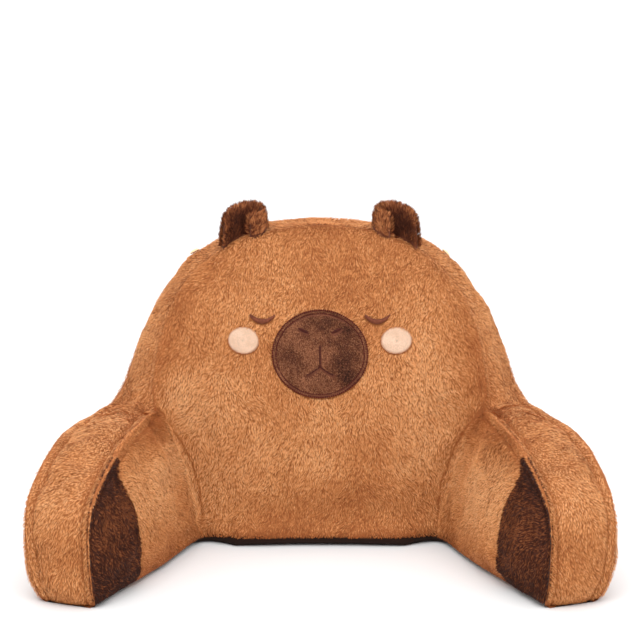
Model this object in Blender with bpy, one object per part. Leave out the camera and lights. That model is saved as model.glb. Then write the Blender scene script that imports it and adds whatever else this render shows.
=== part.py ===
"""Reading pillow with arms: a plush backrest with two arm rests, a round muzzle patch and two ears.

Metres, +Z up. The user leans back in +Y, the arms reach towards -Y, and the pillow is symmetric about X = 0.
The origin is under the middle of the pillow's box, on the surface that it stands on.
"""

import math

import bmesh
import bpy
import numpy as np
from mathutils import Vector
from mathutils.bvhtree import BVHTree

# ---------------------------------------------------------------- driving sizes

VALLEY_Y = 0.0372  # the valley between seat and arm on the floor; the tables below count Y from there
PILE = 0.0026  # the plush stands this far from its backing, whose shape the tables give

# The right half of the pillow, one row for each section, from the arm's front on the floor, back along the arm
# and up round the backrest to the middle of its top.
#   in_*   the seam between the seat side and the strip that runs over the arm and the top
#   out_*  the seam between that strip and the back
SEAM_COLUMNS = ("in_x", "in_y", "in_z", "out_x", "out_y", "out_z")
SEAMS = {
    "arm_front_floor": (0.2515, -0.2570, 0.0000, 0.3145, -0.2350, 0.0000),
    "arm_front_low": (0.2545, -0.2670, 0.0260, 0.3237, -0.2440, 0.0300),
    "arm_front_mid": (0.2560, -0.2700, 0.0600, 0.3283, -0.2500, 0.0620),
    "arm_front_high": (0.2561, -0.2680, 0.0946, 0.3298, -0.2480, 0.0930),
    "arm_front_bend": (0.2520, -0.2560, 0.1220, 0.3268, -0.2350, 0.1218),
    "arm_top_front": (0.2445, -0.2330, 0.1405, 0.3205, -0.2130, 0.1400),
    "arm_top_fore": (0.2365, -0.1990, 0.1535, 0.3115, -0.1790, 0.1560),
    "arm_top_mid": (0.2250, -0.1550, 0.1680, 0.3005, -0.1360, 0.1662),
    "arm_top_rear": (0.2122, -0.1000, 0.1740, 0.2845, -0.0800, 0.1692),
    "arm_top_back": (0.2060, -0.0450, 0.1715, 0.2695, -0.0200, 0.1688),
    "junction": (0.2005, 0.0080, 0.1625, 0.2550, 0.0480, 0.1680),
    "flank_low": (0.2030, 0.0165, 0.1900, 0.2430, 0.0910, 0.1870),
    "flank": (0.1965, 0.0255, 0.2350, 0.2275, 0.1080, 0.2330),
    "side": (0.1770, 0.0370, 0.2910, 0.1985, 0.1180, 0.2875),
    "shoulder": (0.1460, 0.0455, 0.3335, 0.1590, 0.1260, 0.3318),
    "ear_outer": (0.1208, 0.0500, 0.3545, 0.1300, 0.1300, 0.3524),
    "ear_inner": (0.0760, 0.0540, 0.3750, 0.0815, 0.1330, 0.3722),
    "top_side": (0.0380, 0.0557, 0.3822, 0.0400, 0.1340, 0.3797),
    "top_middle": (0.0000, 0.0560, 0.3845, 0.0000, 0.1345, 0.3820),
}
#   foot_in_*, foot_out_*  where the same section meets the floor, on the seat side and on the back
#   seat, back, strip      how far each cloth face swells from the straight line between its seams
#   flange                 how far a stitched seam edge stands proud of the cloth beside it
FORM_COLUMNS = ("foot_in_x", "foot_in_y", "foot_out_x", "foot_out_y", "seat", "back", "strip", "flange")
FORMS = {
    "arm_front_floor": (0.2515, -0.2570, 0.3145, -0.2350, 0.000, 0.000, 0.003, 0.003),
    "arm_front_low": (0.2490, -0.2480, 0.3150, -0.2230, 0.003, 0.004, 0.005, 0.005),
    "arm_front_mid": (0.2445, -0.2360, 0.3145, -0.2080, 0.007, 0.008, 0.006, 0.006),
    "arm_front_high": (0.2390, -0.2220, 0.3135, -0.1910, 0.011, 0.012, 0.006, 0.006),
    "arm_front_bend": (0.2325, -0.2050, 0.3115, -0.1720, 0.015, 0.016, 0.006, 0.006),
    "arm_top_front": (0.2240, -0.1850, 0.3080, -0.1500, 0.018, 0.019, 0.006, 0.006),
    "arm_top_fore": (0.2130, -0.1590, 0.3040, -0.1240, 0.020, 0.022, 0.007, 0.006),
    "arm_top_mid": (0.1995, -0.1280, 0.2985, -0.0930, 0.020, 0.024, 0.008, 0.006),
    "arm_top_rear": (0.1830, -0.0890, 0.2910, -0.0560, 0.017, 0.025, 0.009, 0.005),
    "arm_top_back": (0.1640, -0.0450, 0.2800, -0.0120, 0.010, 0.026, 0.009, 0.004),
    "junction": (0.1428, 0.0000, 0.2640, 0.0380, 0.000, 0.027, 0.008, 0.003),
    "flank_low": (0.1280, 0.0020, 0.2440, 0.0800, 0.012, 0.028, 0.009, 0.002),
    "flank": (0.1110, 0.0080, 0.2140, 0.1140, 0.028, 0.030, 0.010, 0.002),
    "side": (0.0900, 0.0135, 0.1750, 0.1380, 0.040, 0.033, 0.011, 0.001),
    "shoulder": (0.0660, 0.0170, 0.1340, 0.1530, 0.048, 0.036, 0.011, 0.001),
    "ear_outer": (0.0490, 0.0185, 0.1045, 0.1590, 0.051, 0.038, 0.009, 0.001),
    "ear_inner": (0.0310, 0.0195, 0.0700, 0.1640, 0.054, 0.040, 0.006, 0.001),
    "top_side": (0.0155, 0.0200, 0.0350, 0.1665, 0.055, 0.041, 0.005, 0.001),
    "top_middle": (0.0000, 0.0200, 0.0000, 0.1670, 0.055, 0.041, 0.005, 0.001),
}
SHARP_COLUMNS = {"in_x", "in_y", "in_z", "foot_in_x", "foot_in_y", "seat"}  # these turn a corner at the junction
JUNCTION = list(SEAMS).index("junction")

ARM_STEPS = 24  # sections from the arm's front to the junction
BACK_STEPS = 22  # sections from the junction to the middle of the top
FACE_ROWS = 13  # rows up the seat side, and down the back
EDGE_ROWS = (0.0045, 0.0095, 0.0170)  # rows this far from a seam follow its stitched edge
EDGE_ROWS_MOST = (0.12, 0.24, 0.36)  # on a short face they lie closer: at most these shares of its height
STRIP_ROWS = 3  # rows on the strip between its two edges
SWELL_POWERS = (0.82, 0.72)  # under 1: a bulge that is fullest below the middle, and blunt at its ends
STRIP_POWER = 0.8  # the same bluntness, across the strip
GROOVE = 0.0095  # from the seam's edge to the stitches
GROOVE_RISE = 0.7  # under 1: the cloth drops steeply from the edge
GROOVE_FADE = 0.016  # beyond the stitches the dip fades over this distance
FACE_GROOVE = 0.8  # the dip on the seat side and the back, against that on the strip
SHALLOW_BELOW = 0.10  # a face less high than this has a shallower groove

# The face lies on the front of the backrest. Its places are given as seen from the front, in X and Z.
MUZZLE = {"x": 0.0, "z": 0.2375, "half_width": 0.0578, "half_height": 0.0514, "corners": 40}
CHEEK = {"x": 0.0932, "z": 0.2530, "half_width": 0.0184, "half_height": 0.0153, "corners": 24}
EYE = {
    "x": 0.0700,
    "z": 0.2830,
    "half_width": 0.0155,
    "sag": 0.0075,  # the lid's middle hangs this far below its ends
    "half_height": 0.0030,
    "end_share": 0.35,  # the lid's ends are this share as thick as its middle
    "steps": 10,
}
FACE_DEPTH = 0.06  # how far into the cushion a patch's cutting prism runs

# The paw patch fills the front of the arm's inner side: how far back from the seam it reaches, by height.
PAW_REACH = {0.006: 0.078, 0.050: 0.085, 0.073: 0.082, 0.106: 0.073, 0.130: 0.050, 0.148: 0.012}
PAW_ROWS = 10
PAW_SEAM_MARGIN = 0.0040  # its front edge stays this far behind the arm's seam
PAW_PRISM = (0.150, 0.257)  # from the seat's side of the arm to inside it
LAYER_GAP = 0.0004  # between two layers of cloth, and between a sewn-on piece and the cushion
PATCH_THICK = 0.0018

# The ear is a rounded flap, folded into a cup and sewn into the front seam. Each place along its foot has its X and
# Y and the height of the rim above the foot.
EAR = {
    "outer_tip": (0.1192, 0.0452, 0.0330),
    "outer_quarter": (0.1148, 0.0545, 0.0472),
    "outer_middle": (0.1045, 0.0635, 0.0498),
    "crease": (0.0905, 0.0700, 0.0455),
    "inner_middle": (0.0782, 0.0650, 0.0415),
    "inner_quarter": (0.0748, 0.0535, 0.0370),
    "inner_tip": (0.0810, 0.0432, 0.0260),
}
EAR_STEPS = 20  # steps along the foot
EAR_ROWS = 8  # rows from the foot to the rim
EAR_DEPTH = 0.026  # the flap goes this far down before the cushion cuts it off
EAR_BACK_THICK = 0.0100
EAR_LINING_THICK = 0.0095
EAR_RIM_THICK = 0.0012
EAR_FOOT_Z = 0.3572  # height of the foot at the outer tip
EAR_SLOPE = 0.42  # the foot climbs this much for each metre towards the middle
EAR_CROWDING = 0.06  # over 0: the steps lie closer together at the ear's two tips
EAR_ROW_POWER = 0.8  # under 1: and its rows closer together at the rim
EAR_ROUNDNESS = 5  # how late the layers thin out towards the rim

# A domed button on each shoulder, towards the back of the strip.
BUTTON = {"x": 0.1555, "y": 0.0980, "radius": 0.0067, "thick": 0.0036, "edge": 0.0012, "bevel": 0.0006}
BUTTON_SIDES = 24
DOME_STEPS = 4

PLUSH = ((0.54, 0.25, 0.105), 0.85, 0.0)
DARK_PLUSH = ((0.085, 0.028, 0.012), 0.85, 0.0)
MUZZLE_PLUSH = ((0.18, 0.065, 0.032), 0.85, 0.0)
CHEEK_CLOTH = ((0.90, 0.62, 0.46), 0.80, 0.0)
THREAD = ((0.28, 0.095, 0.042), 0.55, 0.0)
CREAM = ((0.88, 0.80, 0.66), 0.45, 0.0)


# ---------------------------------------------------------------- small helpers


def unit(vectors):
    """Each row made one long."""
    return vectors / np.maximum(np.linalg.norm(vectors, axis=-1, keepdims=True), 1e-9)


def smooth_curve(knots, values, at):
    """A smooth curve through values at the knots, read at the given places."""
    slopes = np.gradient(values, knots, axis=0)
    i = np.clip(np.searchsorted(knots, at, side="right") - 1, 0, len(knots) - 2)
    width = (knots[i + 1] - knots[i])[:, None]
    t = (at - knots[i])[:, None] / width
    return (
        values[i] * (1 + 2 * t) * (1 - t) ** 2
        + slopes[i] * width * t * (1 - t) ** 2
        + values[i + 1] * t * t * (3 - 2 * t)
        + slopes[i + 1] * width * t * t * (t - 1)
    )


def material(name, finish):
    """A Principled material from (colour, roughness, metallic)."""
    made = bpy.data.materials.new(name)
    made.use_nodes = True
    shader = made.node_tree.nodes["Principled BSDF"]
    colour, roughness, metallic = finish
    shader.inputs["Base Color"].default_value = (*colour, 1.0)
    shader.inputs["Roughness"].default_value = roughness
    shader.inputs["Metallic"].default_value = metallic
    made.diffuse_color = (*colour, 1.0)
    return made


def add_object(name, mesh, finish, sharp_deg=50):
    """A shown object with this mesh, smooth apart from its sharp edges."""
    made = bpy.data.objects.new(name, mesh)
    bpy.context.scene.collection.objects.link(made)
    mesh.shade_smooth()
    mesh.set_sharp_from_angle(angle=math.radians(sharp_deg))
    mesh.materials.append(finish)
    return made


def mesh_from(name, points, faces, merge=0.0):
    """A mesh with its faces pointing out, its points made one where they lie this near."""
    bm = bmesh.new()
    verts = [bm.verts.new(point) for point in points]
    for face in faces:
        bm.faces.new([verts[i] for i in face])
    if merge:
        bmesh.ops.remove_doubles(bm, verts=bm.verts, dist=merge)
        bmesh.ops.dissolve_degenerate(bm, dist=merge, edges=bm.edges)
    bmesh.ops.recalc_face_normals(bm, faces=bm.faces)
    mesh = bpy.data.meshes.new(name)
    bm.to_mesh(mesh)
    bm.free()
    return mesh


def layered_sheet(under, over):
    """Points and faces of a closed sheet between two grids of points with the same rows and columns."""
    rows, columns = under.shape[:2]
    count = rows * columns
    faces = []
    for i in range(rows - 1):
        for j in range(columns - 1):
            quad = (i * columns + j, i * columns + j + 1, (i + 1) * columns + j + 1, (i + 1) * columns + j)
            faces.append(quad)
            faces.append(tuple(count + k for k in reversed(quad)))
    rim = [j for j in range(columns)]
    rim += [i * columns + columns - 1 for i in range(1, rows)]
    rim += [(rows - 1) * columns + j for j in range(columns - 2, -1, -1)]
    rim += [i * columns for i in range(rows - 2, 0, -1)]
    for a, b in zip(rim, rim[1:] + rim[:1]):
        faces.append((b, a, count + a, count + b))
    return np.concatenate([under.reshape(-1, 3), over.reshape(-1, 3)]), faces


# ---------------------------------------------------------------- the filled body


def half_sections():
    """The tables read at each section of the right half: {column: one value for each section}."""
    rows = np.array([SEAMS[name] + FORMS[name] for name in SEAMS])
    columns = SEAM_COLUMNS + FORM_COLUMNS
    seam_middle = (rows[:, 0:3] + rows[:, 3:6]) / 2
    knots = np.concatenate([[0], np.cumsum(np.linalg.norm(np.diff(seam_middle, axis=0), axis=1))])
    at_arm = np.linspace(0, knots[JUNCTION], ARM_STEPS + 1)
    at_back = np.linspace(knots[JUNCTION], knots[-1], BACK_STEPS + 1)[1:]
    # Under the floor, and past the middle of the top, the curves go on as their mirror images.
    under_floor = np.array([-1.0 if c.endswith("_z") else 1.0 for c in columns]) * rows[1]
    past_middle = np.array([-1.0 if c.endswith("_x") else 1.0 for c in columns]) * rows[-2]
    before, after = 2 * knots[0] - knots[1], 2 * knots[-1] - knots[-2]
    all_knots = np.array([before, *knots, after])
    all_rows = np.array([under_floor, *rows, past_middle])
    corner = JUNCTION + 1
    smooth = smooth_curve(all_knots, all_rows, np.concatenate([at_arm, at_back]))
    cornered = np.concatenate(
        [
            smooth_curve(all_knots[: corner + 1], all_rows[: corner + 1], at_arm),
            smooth_curve(all_knots[corner:], all_rows[corner:], at_back),
        ]
    )
    return {c: (cornered if c in SHARP_COLUMNS else smooth)[:, i] for i, c in enumerate(columns)}


def points_of(sections, name):
    """The points of one seam or foot: (section, xyz)."""
    x, y = sections[name + "_x"], sections[name + "_y"] + VALLEY_Y
    return np.stack([x, y, sections.get(name + "_z", np.zeros(len(x)))], axis=1)


def level_normals(points, cornered):
    """Level unit vectors to the right of the way the points run, with a break at the junction if cornered."""
    if cornered:
        arm, back = points[: ARM_STEPS + 1], points[ARM_STEPS:]
        ways = np.concatenate([np.gradient(arm, axis=0), np.gradient(back, axis=0)[1:]])
    else:
        ways = np.gradient(points, axis=0)
    return unit(np.stack([ways[:, 1], -ways[:, 0], np.zeros(len(ways))], axis=1))


def swell(v):
    """How a stuffed face bulges between its foot (0) and its seam (1), fullest a little below the middle."""
    place, bluntness = SWELL_POWERS
    return np.sin(math.pi * v**place) ** bluntness


def edge_dip(distance):
    """The dip beside a seam's proud edge: none on the edge itself, deepest at the stitches, then gone."""
    rise = (distance / GROOVE) ** GROOVE_RISE
    return np.where(distance < GROOVE, rise, np.exp(-(distance - GROOVE) / GROOVE_FADE))


def face_rows(foot, seam, normals, crown, flange):
    """Points from the foot up to the seam of each section, as an array of (section, row, xyz)."""
    length = np.maximum(np.linalg.norm(seam - foot, axis=1), 1e-6)[:, None]
    near = np.minimum(np.array(EDGE_ROWS)[None, :] / length, [EDGE_ROWS_MOST])[:, ::-1]
    low = (1 - near[:, :1]) * np.linspace(0, 1, FACE_ROWS - len(EDGE_ROWS))[None, :]
    v = np.concatenate([low, 1 - near[:, 1:], np.ones_like(length)], axis=1)
    straight = foot[:, None, :] + (seam - foot)[:, None, :] * v[:, :, None]
    groove = FACE_GROOVE * flange[:, None] * np.minimum(1, length / SHALLOW_BELOW)
    out = crown[:, None] * swell(v) - groove * edge_dip((1 - v) * length)
    return straight + normals[:, None, :] * out[:, :, None]


def strip_rows(inner, outer, crown, flange):
    """Points across the strip between its two seams, without the seams themselves."""
    across = outer - inner
    width = np.linalg.norm(across, axis=1)[:, None]
    normals = unit(np.cross(across, np.gradient(inner + outer, axis=0)))
    edge = np.array(EDGE_ROWS)[None, :] / width
    middle = np.linspace(edge[:, -1], 1 - edge[:, -1], STRIP_ROWS + 2, axis=1)[:, 1:-1]
    w = np.concatenate([edge, middle, 1 - edge[:, ::-1]], axis=1)
    dip = edge_dip(w * width) + edge_dip((1 - w) * width)
    out = crown[:, None] * np.sin(math.pi * w) ** STRIP_POWER - flange[:, None] * dip
    return inner[:, None, :] + across[:, None, :] * w[:, :, None] + normals[:, None, :] * out[:, :, None]


def right_half():
    """The right half's sections, each a closed loop: up the seat side, over the strip, down the back, under."""
    s = half_sections()
    inner, outer = points_of(s, "in"), points_of(s, "out")
    foot_in, foot_out = points_of(s, "foot_in"), points_of(s, "foot_out")
    seat_normals = -level_normals((inner + foot_in)[:, :2], cornered=True)
    back_normals = level_normals((outer + foot_out)[:, :2], cornered=False)
    seat = face_rows(foot_in, inner, seat_normals, s["seat"], s["flange"])
    back = face_rows(foot_out, outer, back_normals, s["back"], s["flange"])
    strip = strip_rows(inner, outer, s["strip"], s["flange"])
    share = np.linspace(0, 1, strip.shape[1] + 2)[1:-1]
    base = foot_out[:, None, :] + (foot_in - foot_out)[:, None, :] * share[None, :, None]
    # The first section lies on the floor, where the strip ends and the base begins.
    strip[0, :, 2] = 0
    base[0] = strip[0, ::-1]
    return np.concatenate([seat, strip, back[:, ::-1], base], axis=1)


def body_mesh():
    """The whole filled pillow as one closed mesh, out to the tips of its pile and flat where it rests."""
    right = right_half()
    left = right[:-1] * np.array([-1, 1, 1])
    loops = np.concatenate([left, right[::-1]])
    count, rows = loops.shape[:2]
    faces = []
    for i in range(count - 1):
        for j in range(rows):
            k = (j + 1) % rows
            faces.append((i * rows + j, i * rows + k, (i + 1) * rows + k, (i + 1) * rows + j))
    mesh = mesh_from("body", loops.reshape(-1, 3), faces, merge=1e-5)
    offsets = [vertex.normal * PILE for vertex in mesh.vertices]
    for vertex, offset in zip(mesh.vertices, offsets):
        vertex.co += offset
        vertex.co.z = max(vertex.co.z, 0.0)
    return mesh


# ---------------------------------------------------------------- patches


def oval_outline(place):
    """The (x, z) corners of an oval patch."""
    turns = np.linspace(0, 2 * math.pi, place["corners"], endpoint=False)
    x = place["x"] + place["half_width"] * np.cos(turns)
    z = place["z"] + place["half_height"] * np.sin(turns)
    return np.stack([x, z], axis=1)


def lid_outline(place):
    """The (x, z) corners of a closed eyelid: an arc that sags in the middle and is thickest there."""
    u = np.linspace(-1, 1, place["steps"] + 1)
    middle = place["z"] - place["sag"] * (1 - u * u)
    ends = place["end_share"]
    thick = place["half_height"] * (ends + (1 - ends) * np.sqrt(1 - u * u))
    x = place["x"] + place["half_width"] * u
    return np.concatenate([np.stack([x, middle - thick], 1), np.stack([x, middle + thick], 1)[::-1]])


def paw_outline():
    """The (y, z) corners of the patch on an arm's inner side, from the front seam back."""
    s = half_sections()
    on_front = slice(0, ARM_STEPS // 2)
    heights = np.linspace(min(PAW_REACH), max(PAW_REACH), PAW_ROWS)
    seam = np.interp(heights, s["in_z"][on_front], s["in_y"][on_front]) + VALLEY_Y
    reach = np.interp(heights, list(PAW_REACH), list(PAW_REACH.values()))
    front = np.stack([seam + PAW_SEAM_MARGIN, heights], axis=1)
    rear = np.stack([seam + reach, heights], axis=1)
    return np.concatenate([front, rear[::-1]])


def moved_out(body, name, distance):
    """A helper: the body's surface moved out by this distance."""
    mesh = body.data.copy()
    mesh.name = name
    offsets = [vertex.normal * distance for vertex in mesh.vertices]
    for vertex, offset in zip(mesh.vertices, offsets):
        vertex.co += offset
    helper = bpy.data.objects.new(name, mesh)
    bpy.context.scene.collection.objects.link(helper)
    helper.hide_render = True
    helper.display_type = "WIRE"
    return helper


def add_patch(name, start, end, finish, helpers):
    """Cloth that follows the cushion inside a prism, given as its start and end outlines."""
    count = len(start)
    faces = [tuple(range(count)), tuple(range(2 * count - 1, count - 1, -1))]
    faces += [(i, (i + 1) % count, count + (i + 1) % count, count + i) for i in range(count)]
    made = add_object(name, mesh_from(name, np.concatenate([start, end]), faces), finish)
    for operation, helper in zip(("INTERSECT", "DIFFERENCE"), helpers):
        cut = made.modifiers.new(operation.lower(), "BOOLEAN")
        cut.operation = operation
        cut.object = helper


def add_face_patch(name, outline, side, finish, helpers):
    """A patch on the front of the backrest, on the right (side 1) or mirrored to the left (side -1)."""
    x, z = side * outline[:, 0], outline[:, 1]
    start = np.stack([x, np.full_like(x, VALLEY_Y - FACE_DEPTH), z], axis=1)
    end = np.stack([x, np.full_like(x, VALLEY_Y + FACE_DEPTH), z], axis=1)
    add_patch(name, start, end, finish, helpers)


def add_paw_patch(name, side, finish, helpers):
    """The dark patch on an arm's inner side."""
    y, z = paw_outline().T
    start, end = [np.stack([np.full_like(y, side * x), y, z], axis=1) for x in PAW_PRISM]
    add_patch(name, start, end, finish, helpers)


# ---------------------------------------------------------------- ears


def ear_layers(side):
    """The two layers of an ear, back and lining, as (points, faces) each, running down into the cushion."""
    rows = np.array(list(EAR.values()))
    knots = np.concatenate([[0], np.cumsum(np.linalg.norm(np.diff(rows[:, :2], axis=0), axis=1))])
    along = np.linspace(0, 1, EAR_STEPS + 1)
    along -= EAR_CROWDING * np.sin(2 * math.pi * along)
    line = smooth_curve(knots, rows, knots[-1] * along)
    foot = np.stack([side * line[:, 0], line[:, 1] + VALLEY_Y], axis=1)
    ways = np.gradient(foot, axis=0)
    backward = unit(np.stack([-ways[:, 1], ways[:, 0]], axis=1)) * -side
    foot_z = EAR_FOOT_Z + EAR_SLOPE * (line[0, 0] - line[:, 0])
    share = np.linspace(0, 1, EAR_ROWS + 1) ** EAR_ROW_POWER
    z = foot_z[:, None] - EAR_DEPTH + (line[:, 2] + EAR_DEPTH)[:, None] * share[None, :]
    filling = [np.sqrt(1 - part**EAR_ROUNDNESS) for part in (np.abs(2 * along - 1), share)]
    fullness = filling[0][:, None] * filling[1][None, :]
    layers = []
    for sign, thick in ((1, EAR_BACK_THICK), (-1, EAR_LINING_THICK)):
        near = np.full(z.shape, LAYER_GAP / 2)
        far = near + EAR_RIM_THICK + (thick - EAR_RIM_THICK) * fullness
        sheets = []
        for offset in (near, far):
            level = foot[:, None, :] + backward[:, None, :] * (sign * offset)[:, :, None]
            sheets.append(np.concatenate([level, z[:, :, None]], axis=2))
        layers.append(layered_sheet(*sheets))
    return layers


def add_ear(name, side, finishes, cushion):
    """One ear's back and lining, cut off where they meet the cushion."""
    for suffix, layer, finish in zip(("", "_lining"), ear_layers(side), finishes):
        made = add_object(name + suffix, mesh_from(name + suffix, *layer), finish)
        cut = made.modifiers.new("cushion", "BOOLEAN")
        cut.operation = "DIFFERENCE"
        cut.object = cushion


# ---------------------------------------------------------------- buttons


def add_button(name, surface, side, finish):
    """A domed button that lies on the shoulder, square to the cloth."""
    start = Vector((side * BUTTON["x"], BUTTON["y"] + VALLEY_Y, 1.0))
    place, normal = surface.ray_cast(start, Vector((0, 0, -1)))[:2]
    radius, thick, edge, bevel = [BUTTON[key] for key in ("radius", "thick", "edge", "bevel")]
    profile = [(radius - bevel, 0), (radius, bevel), (radius, edge)]
    for step in range(1, DOME_STEPS):
        turn = math.radians(90 * step / DOME_STEPS)
        profile.append((radius * math.cos(turn), edge + (thick - edge) * math.sin(turn)))
    points = [(0, 0, 0)]
    faces = []
    for ring, (r, h) in enumerate(profile):
        for side_step in range(BUTTON_SIDES):
            turn = 2 * math.pi * side_step / BUTTON_SIDES
            points.append((r * math.cos(turn), r * math.sin(turn), h))
            here, following = side_step, (side_step + 1) % BUTTON_SIDES
            low, high = 1 + (ring - 1) * BUTTON_SIDES, 1 + ring * BUTTON_SIDES
            if ring:
                faces.append((low + here, low + following, high + following, high + here))
            else:
                faces.append((0, high + following, high + here))
    top = len(points)
    points.append((0, 0, thick))
    last = top - BUTTON_SIDES
    faces += [(top, last + i, last + (i + 1) % BUTTON_SIDES) for i in range(BUTTON_SIDES)]
    button = add_object(name, mesh_from(name, points, faces), finish)
    button.location = place + normal * LAYER_GAP
    button.rotation_mode = "QUATERNION"
    button.rotation_quaternion = normal.to_track_quat("Z", "Y")


# ---------------------------------------------------------------- the pillow


def build():
    for old in list(bpy.data.objects):
        bpy.data.objects.remove(old)
    plush = material("plush", PLUSH)
    dark_plush = material("dark_plush", DARK_PLUSH)
    muzzle_plush = material("muzzle_plush", MUZZLE_PLUSH)
    cheek_cloth = material("cheek_cloth", CHEEK_CLOTH)
    thread = material("thread", THREAD)
    cream = material("cream", CREAM)

    body = add_object("body", body_mesh(), plush)
    bm = bmesh.new()
    bm.from_mesh(body.data)
    surface = BVHTree.FromBMesh(bm)
    bm.free()
    cushion = moved_out(body, "cushion_below_patches", LAYER_GAP)
    helpers = (moved_out(body, "cushion_above_patches", LAYER_GAP + PATCH_THICK), cushion)

    add_face_patch("muzzle_patch", oval_outline(MUZZLE), 1, muzzle_plush, helpers)
    for name, side in (("left", -1), ("right", 1)):
        add_face_patch("cheek_" + name, oval_outline(CHEEK), side, cheek_cloth, helpers)
        add_face_patch("eye_" + name, lid_outline(EYE), side, thread, helpers)
        add_paw_patch("paw_patch_" + name, side, dark_plush, helpers)
        add_ear("ear_" + name, side, (plush, dark_plush), cushion)
        add_button("button_" + name, surface, side, cream)


build()
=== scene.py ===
"""The looks of a plush reading pillow with arms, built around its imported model.

Metres, +Z up, in the model's frame: the user leans back in +Y, and the arms reach towards -Y.
The cover is a fine grid over the same table of sections as the solids, lower by the height of the pile. Cloth
simulation puckers it, and tapered strands of pile stand on it out to the solids' surface.
"""

import math

import bmesh
import bpy
import numpy as np
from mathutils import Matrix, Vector
from mathutils.bvhtree import BVHTree
from mathutils.kdtree import KDTree


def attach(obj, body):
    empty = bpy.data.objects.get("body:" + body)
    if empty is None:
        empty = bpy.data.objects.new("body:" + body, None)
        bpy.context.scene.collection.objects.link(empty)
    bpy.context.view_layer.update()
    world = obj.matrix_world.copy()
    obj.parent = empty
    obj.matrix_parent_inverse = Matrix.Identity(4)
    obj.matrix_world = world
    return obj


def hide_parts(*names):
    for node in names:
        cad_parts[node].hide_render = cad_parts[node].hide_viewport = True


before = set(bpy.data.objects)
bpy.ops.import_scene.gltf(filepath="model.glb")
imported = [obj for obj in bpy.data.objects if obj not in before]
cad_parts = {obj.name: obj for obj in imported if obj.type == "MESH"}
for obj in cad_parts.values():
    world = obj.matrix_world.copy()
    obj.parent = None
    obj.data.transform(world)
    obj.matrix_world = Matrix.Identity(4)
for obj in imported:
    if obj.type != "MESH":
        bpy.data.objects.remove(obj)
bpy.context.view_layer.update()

# ---------------- the pillow's measures

VALLEY_Y = 0.0372  # the valley between seat and arm on the floor; what follows counts Y from there

# The right half of the pillow in tenths of a millimetre, one row for each section, from the arm's front on the
# floor, back along the arm and up round the backrest to the middle of its top.
#   in_*, out_*            the seams that join the strip over the arm and the top to the seat side and to the back
#   foot_in_*, foot_out_*  where the same section meets the floor, on the seat side and on the back
#   seat, back, strip      how far each cloth face swells from the straight line between its seams
#   flange                 how far a stitched seam edge stands proud of the cloth beside it
COLUMNS = ("in_x", "in_y", "in_z", "out_x", "out_y", "out_z", "foot_in_x", "foot_in_y", "foot_out_x", "foot_out_y",
           "seat", "back", "strip", "flange")
SECTIONS = {
    "arm_front_floor": (2515, -2570, 0, 3145, -2350, 0, 2515, -2570, 3145, -2350, 0, 0, 30, 30),
    "arm_front_low": (2545, -2670, 260, 3237, -2440, 300, 2490, -2480, 3150, -2230, 30, 40, 50, 50),
    "arm_front_mid": (2560, -2700, 600, 3283, -2500, 620, 2445, -2360, 3145, -2080, 70, 80, 60, 60),
    "arm_front_high": (2561, -2680, 946, 3298, -2480, 930, 2390, -2220, 3135, -1910, 110, 120, 60, 60),
    "arm_front_bend": (2520, -2560, 1220, 3268, -2350, 1218, 2325, -2050, 3115, -1720, 150, 160, 60, 60),
    "arm_top_front": (2445, -2330, 1405, 3205, -2130, 1400, 2240, -1850, 3080, -1500, 180, 190, 60, 60),
    "arm_top_fore": (2365, -1990, 1535, 3115, -1790, 1560, 2130, -1590, 3040, -1240, 200, 220, 70, 60),
    "arm_top_mid": (2250, -1550, 1680, 3005, -1360, 1662, 1995, -1280, 2985, -930, 200, 240, 80, 60),
    "arm_top_rear": (2122, -1000, 1740, 2845, -800, 1692, 1830, -890, 2910, -560, 170, 250, 90, 50),
    "arm_top_back": (2060, -450, 1715, 2695, -200, 1688, 1640, -450, 2800, -120, 100, 260, 90, 40),
    "junction": (2005, 80, 1625, 2550, 480, 1680, 1428, 0, 2640, 380, 0, 270, 80, 30),
    "flank_low": (2030, 165, 1900, 2430, 910, 1870, 1280, 20, 2440, 800, 120, 280, 90, 20),
    "flank": (1965, 255, 2350, 2275, 1080, 2330, 1110, 80, 2140, 1140, 280, 300, 100, 20),
    "side": (1770, 370, 2910, 1985, 1180, 2875, 900, 135, 1750, 1380, 400, 330, 110, 10),
    "shoulder": (1460, 455, 3335, 1590, 1260, 3318, 660, 170, 1340, 1530, 480, 360, 110, 10),
    "ear_outer": (1208, 500, 3545, 1300, 1300, 3524, 490, 185, 1045, 1590, 510, 380, 90, 10),
    "ear_inner": (760, 540, 3750, 815, 1330, 3722, 310, 195, 700, 1640, 540, 400, 60, 10),
    "top_side": (380, 557, 3822, 400, 1340, 3797, 155, 200, 350, 1665, 550, 410, 50, 10),
    "top_middle": (0, 560, 3845, 0, 1345, 3820, 0, 200, 0, 1670, 550, 410, 50, 10),
}
SHARP_COLUMNS = {"in_x", "in_y", "in_z", "foot_in_x", "foot_in_y", "seat"}  # these turn a corner at the junction
JUNCTION = list(SECTIONS).index("junction")

SWELL_POWERS = (0.82, 0.72)  # under 1: a bulge that is fullest below the middle, and blunt at its ends
STRIP_POWER = 0.8
GROOVE = 0.0095  # from a seam's edge to the stitches that make its flange
GROOVE_RISE = 0.7  # under 1: the dip beside the edge sets in steeply
GROOVE_FADE = 0.016
STITCH_DIP, STITCH_WIDTH = 0.45, 0.0017  # the sharper dip at the stitches, as a share of the other
SHALLOW_BELOW = 0.10  # grooves are shallower on a face shorter than this

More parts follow.
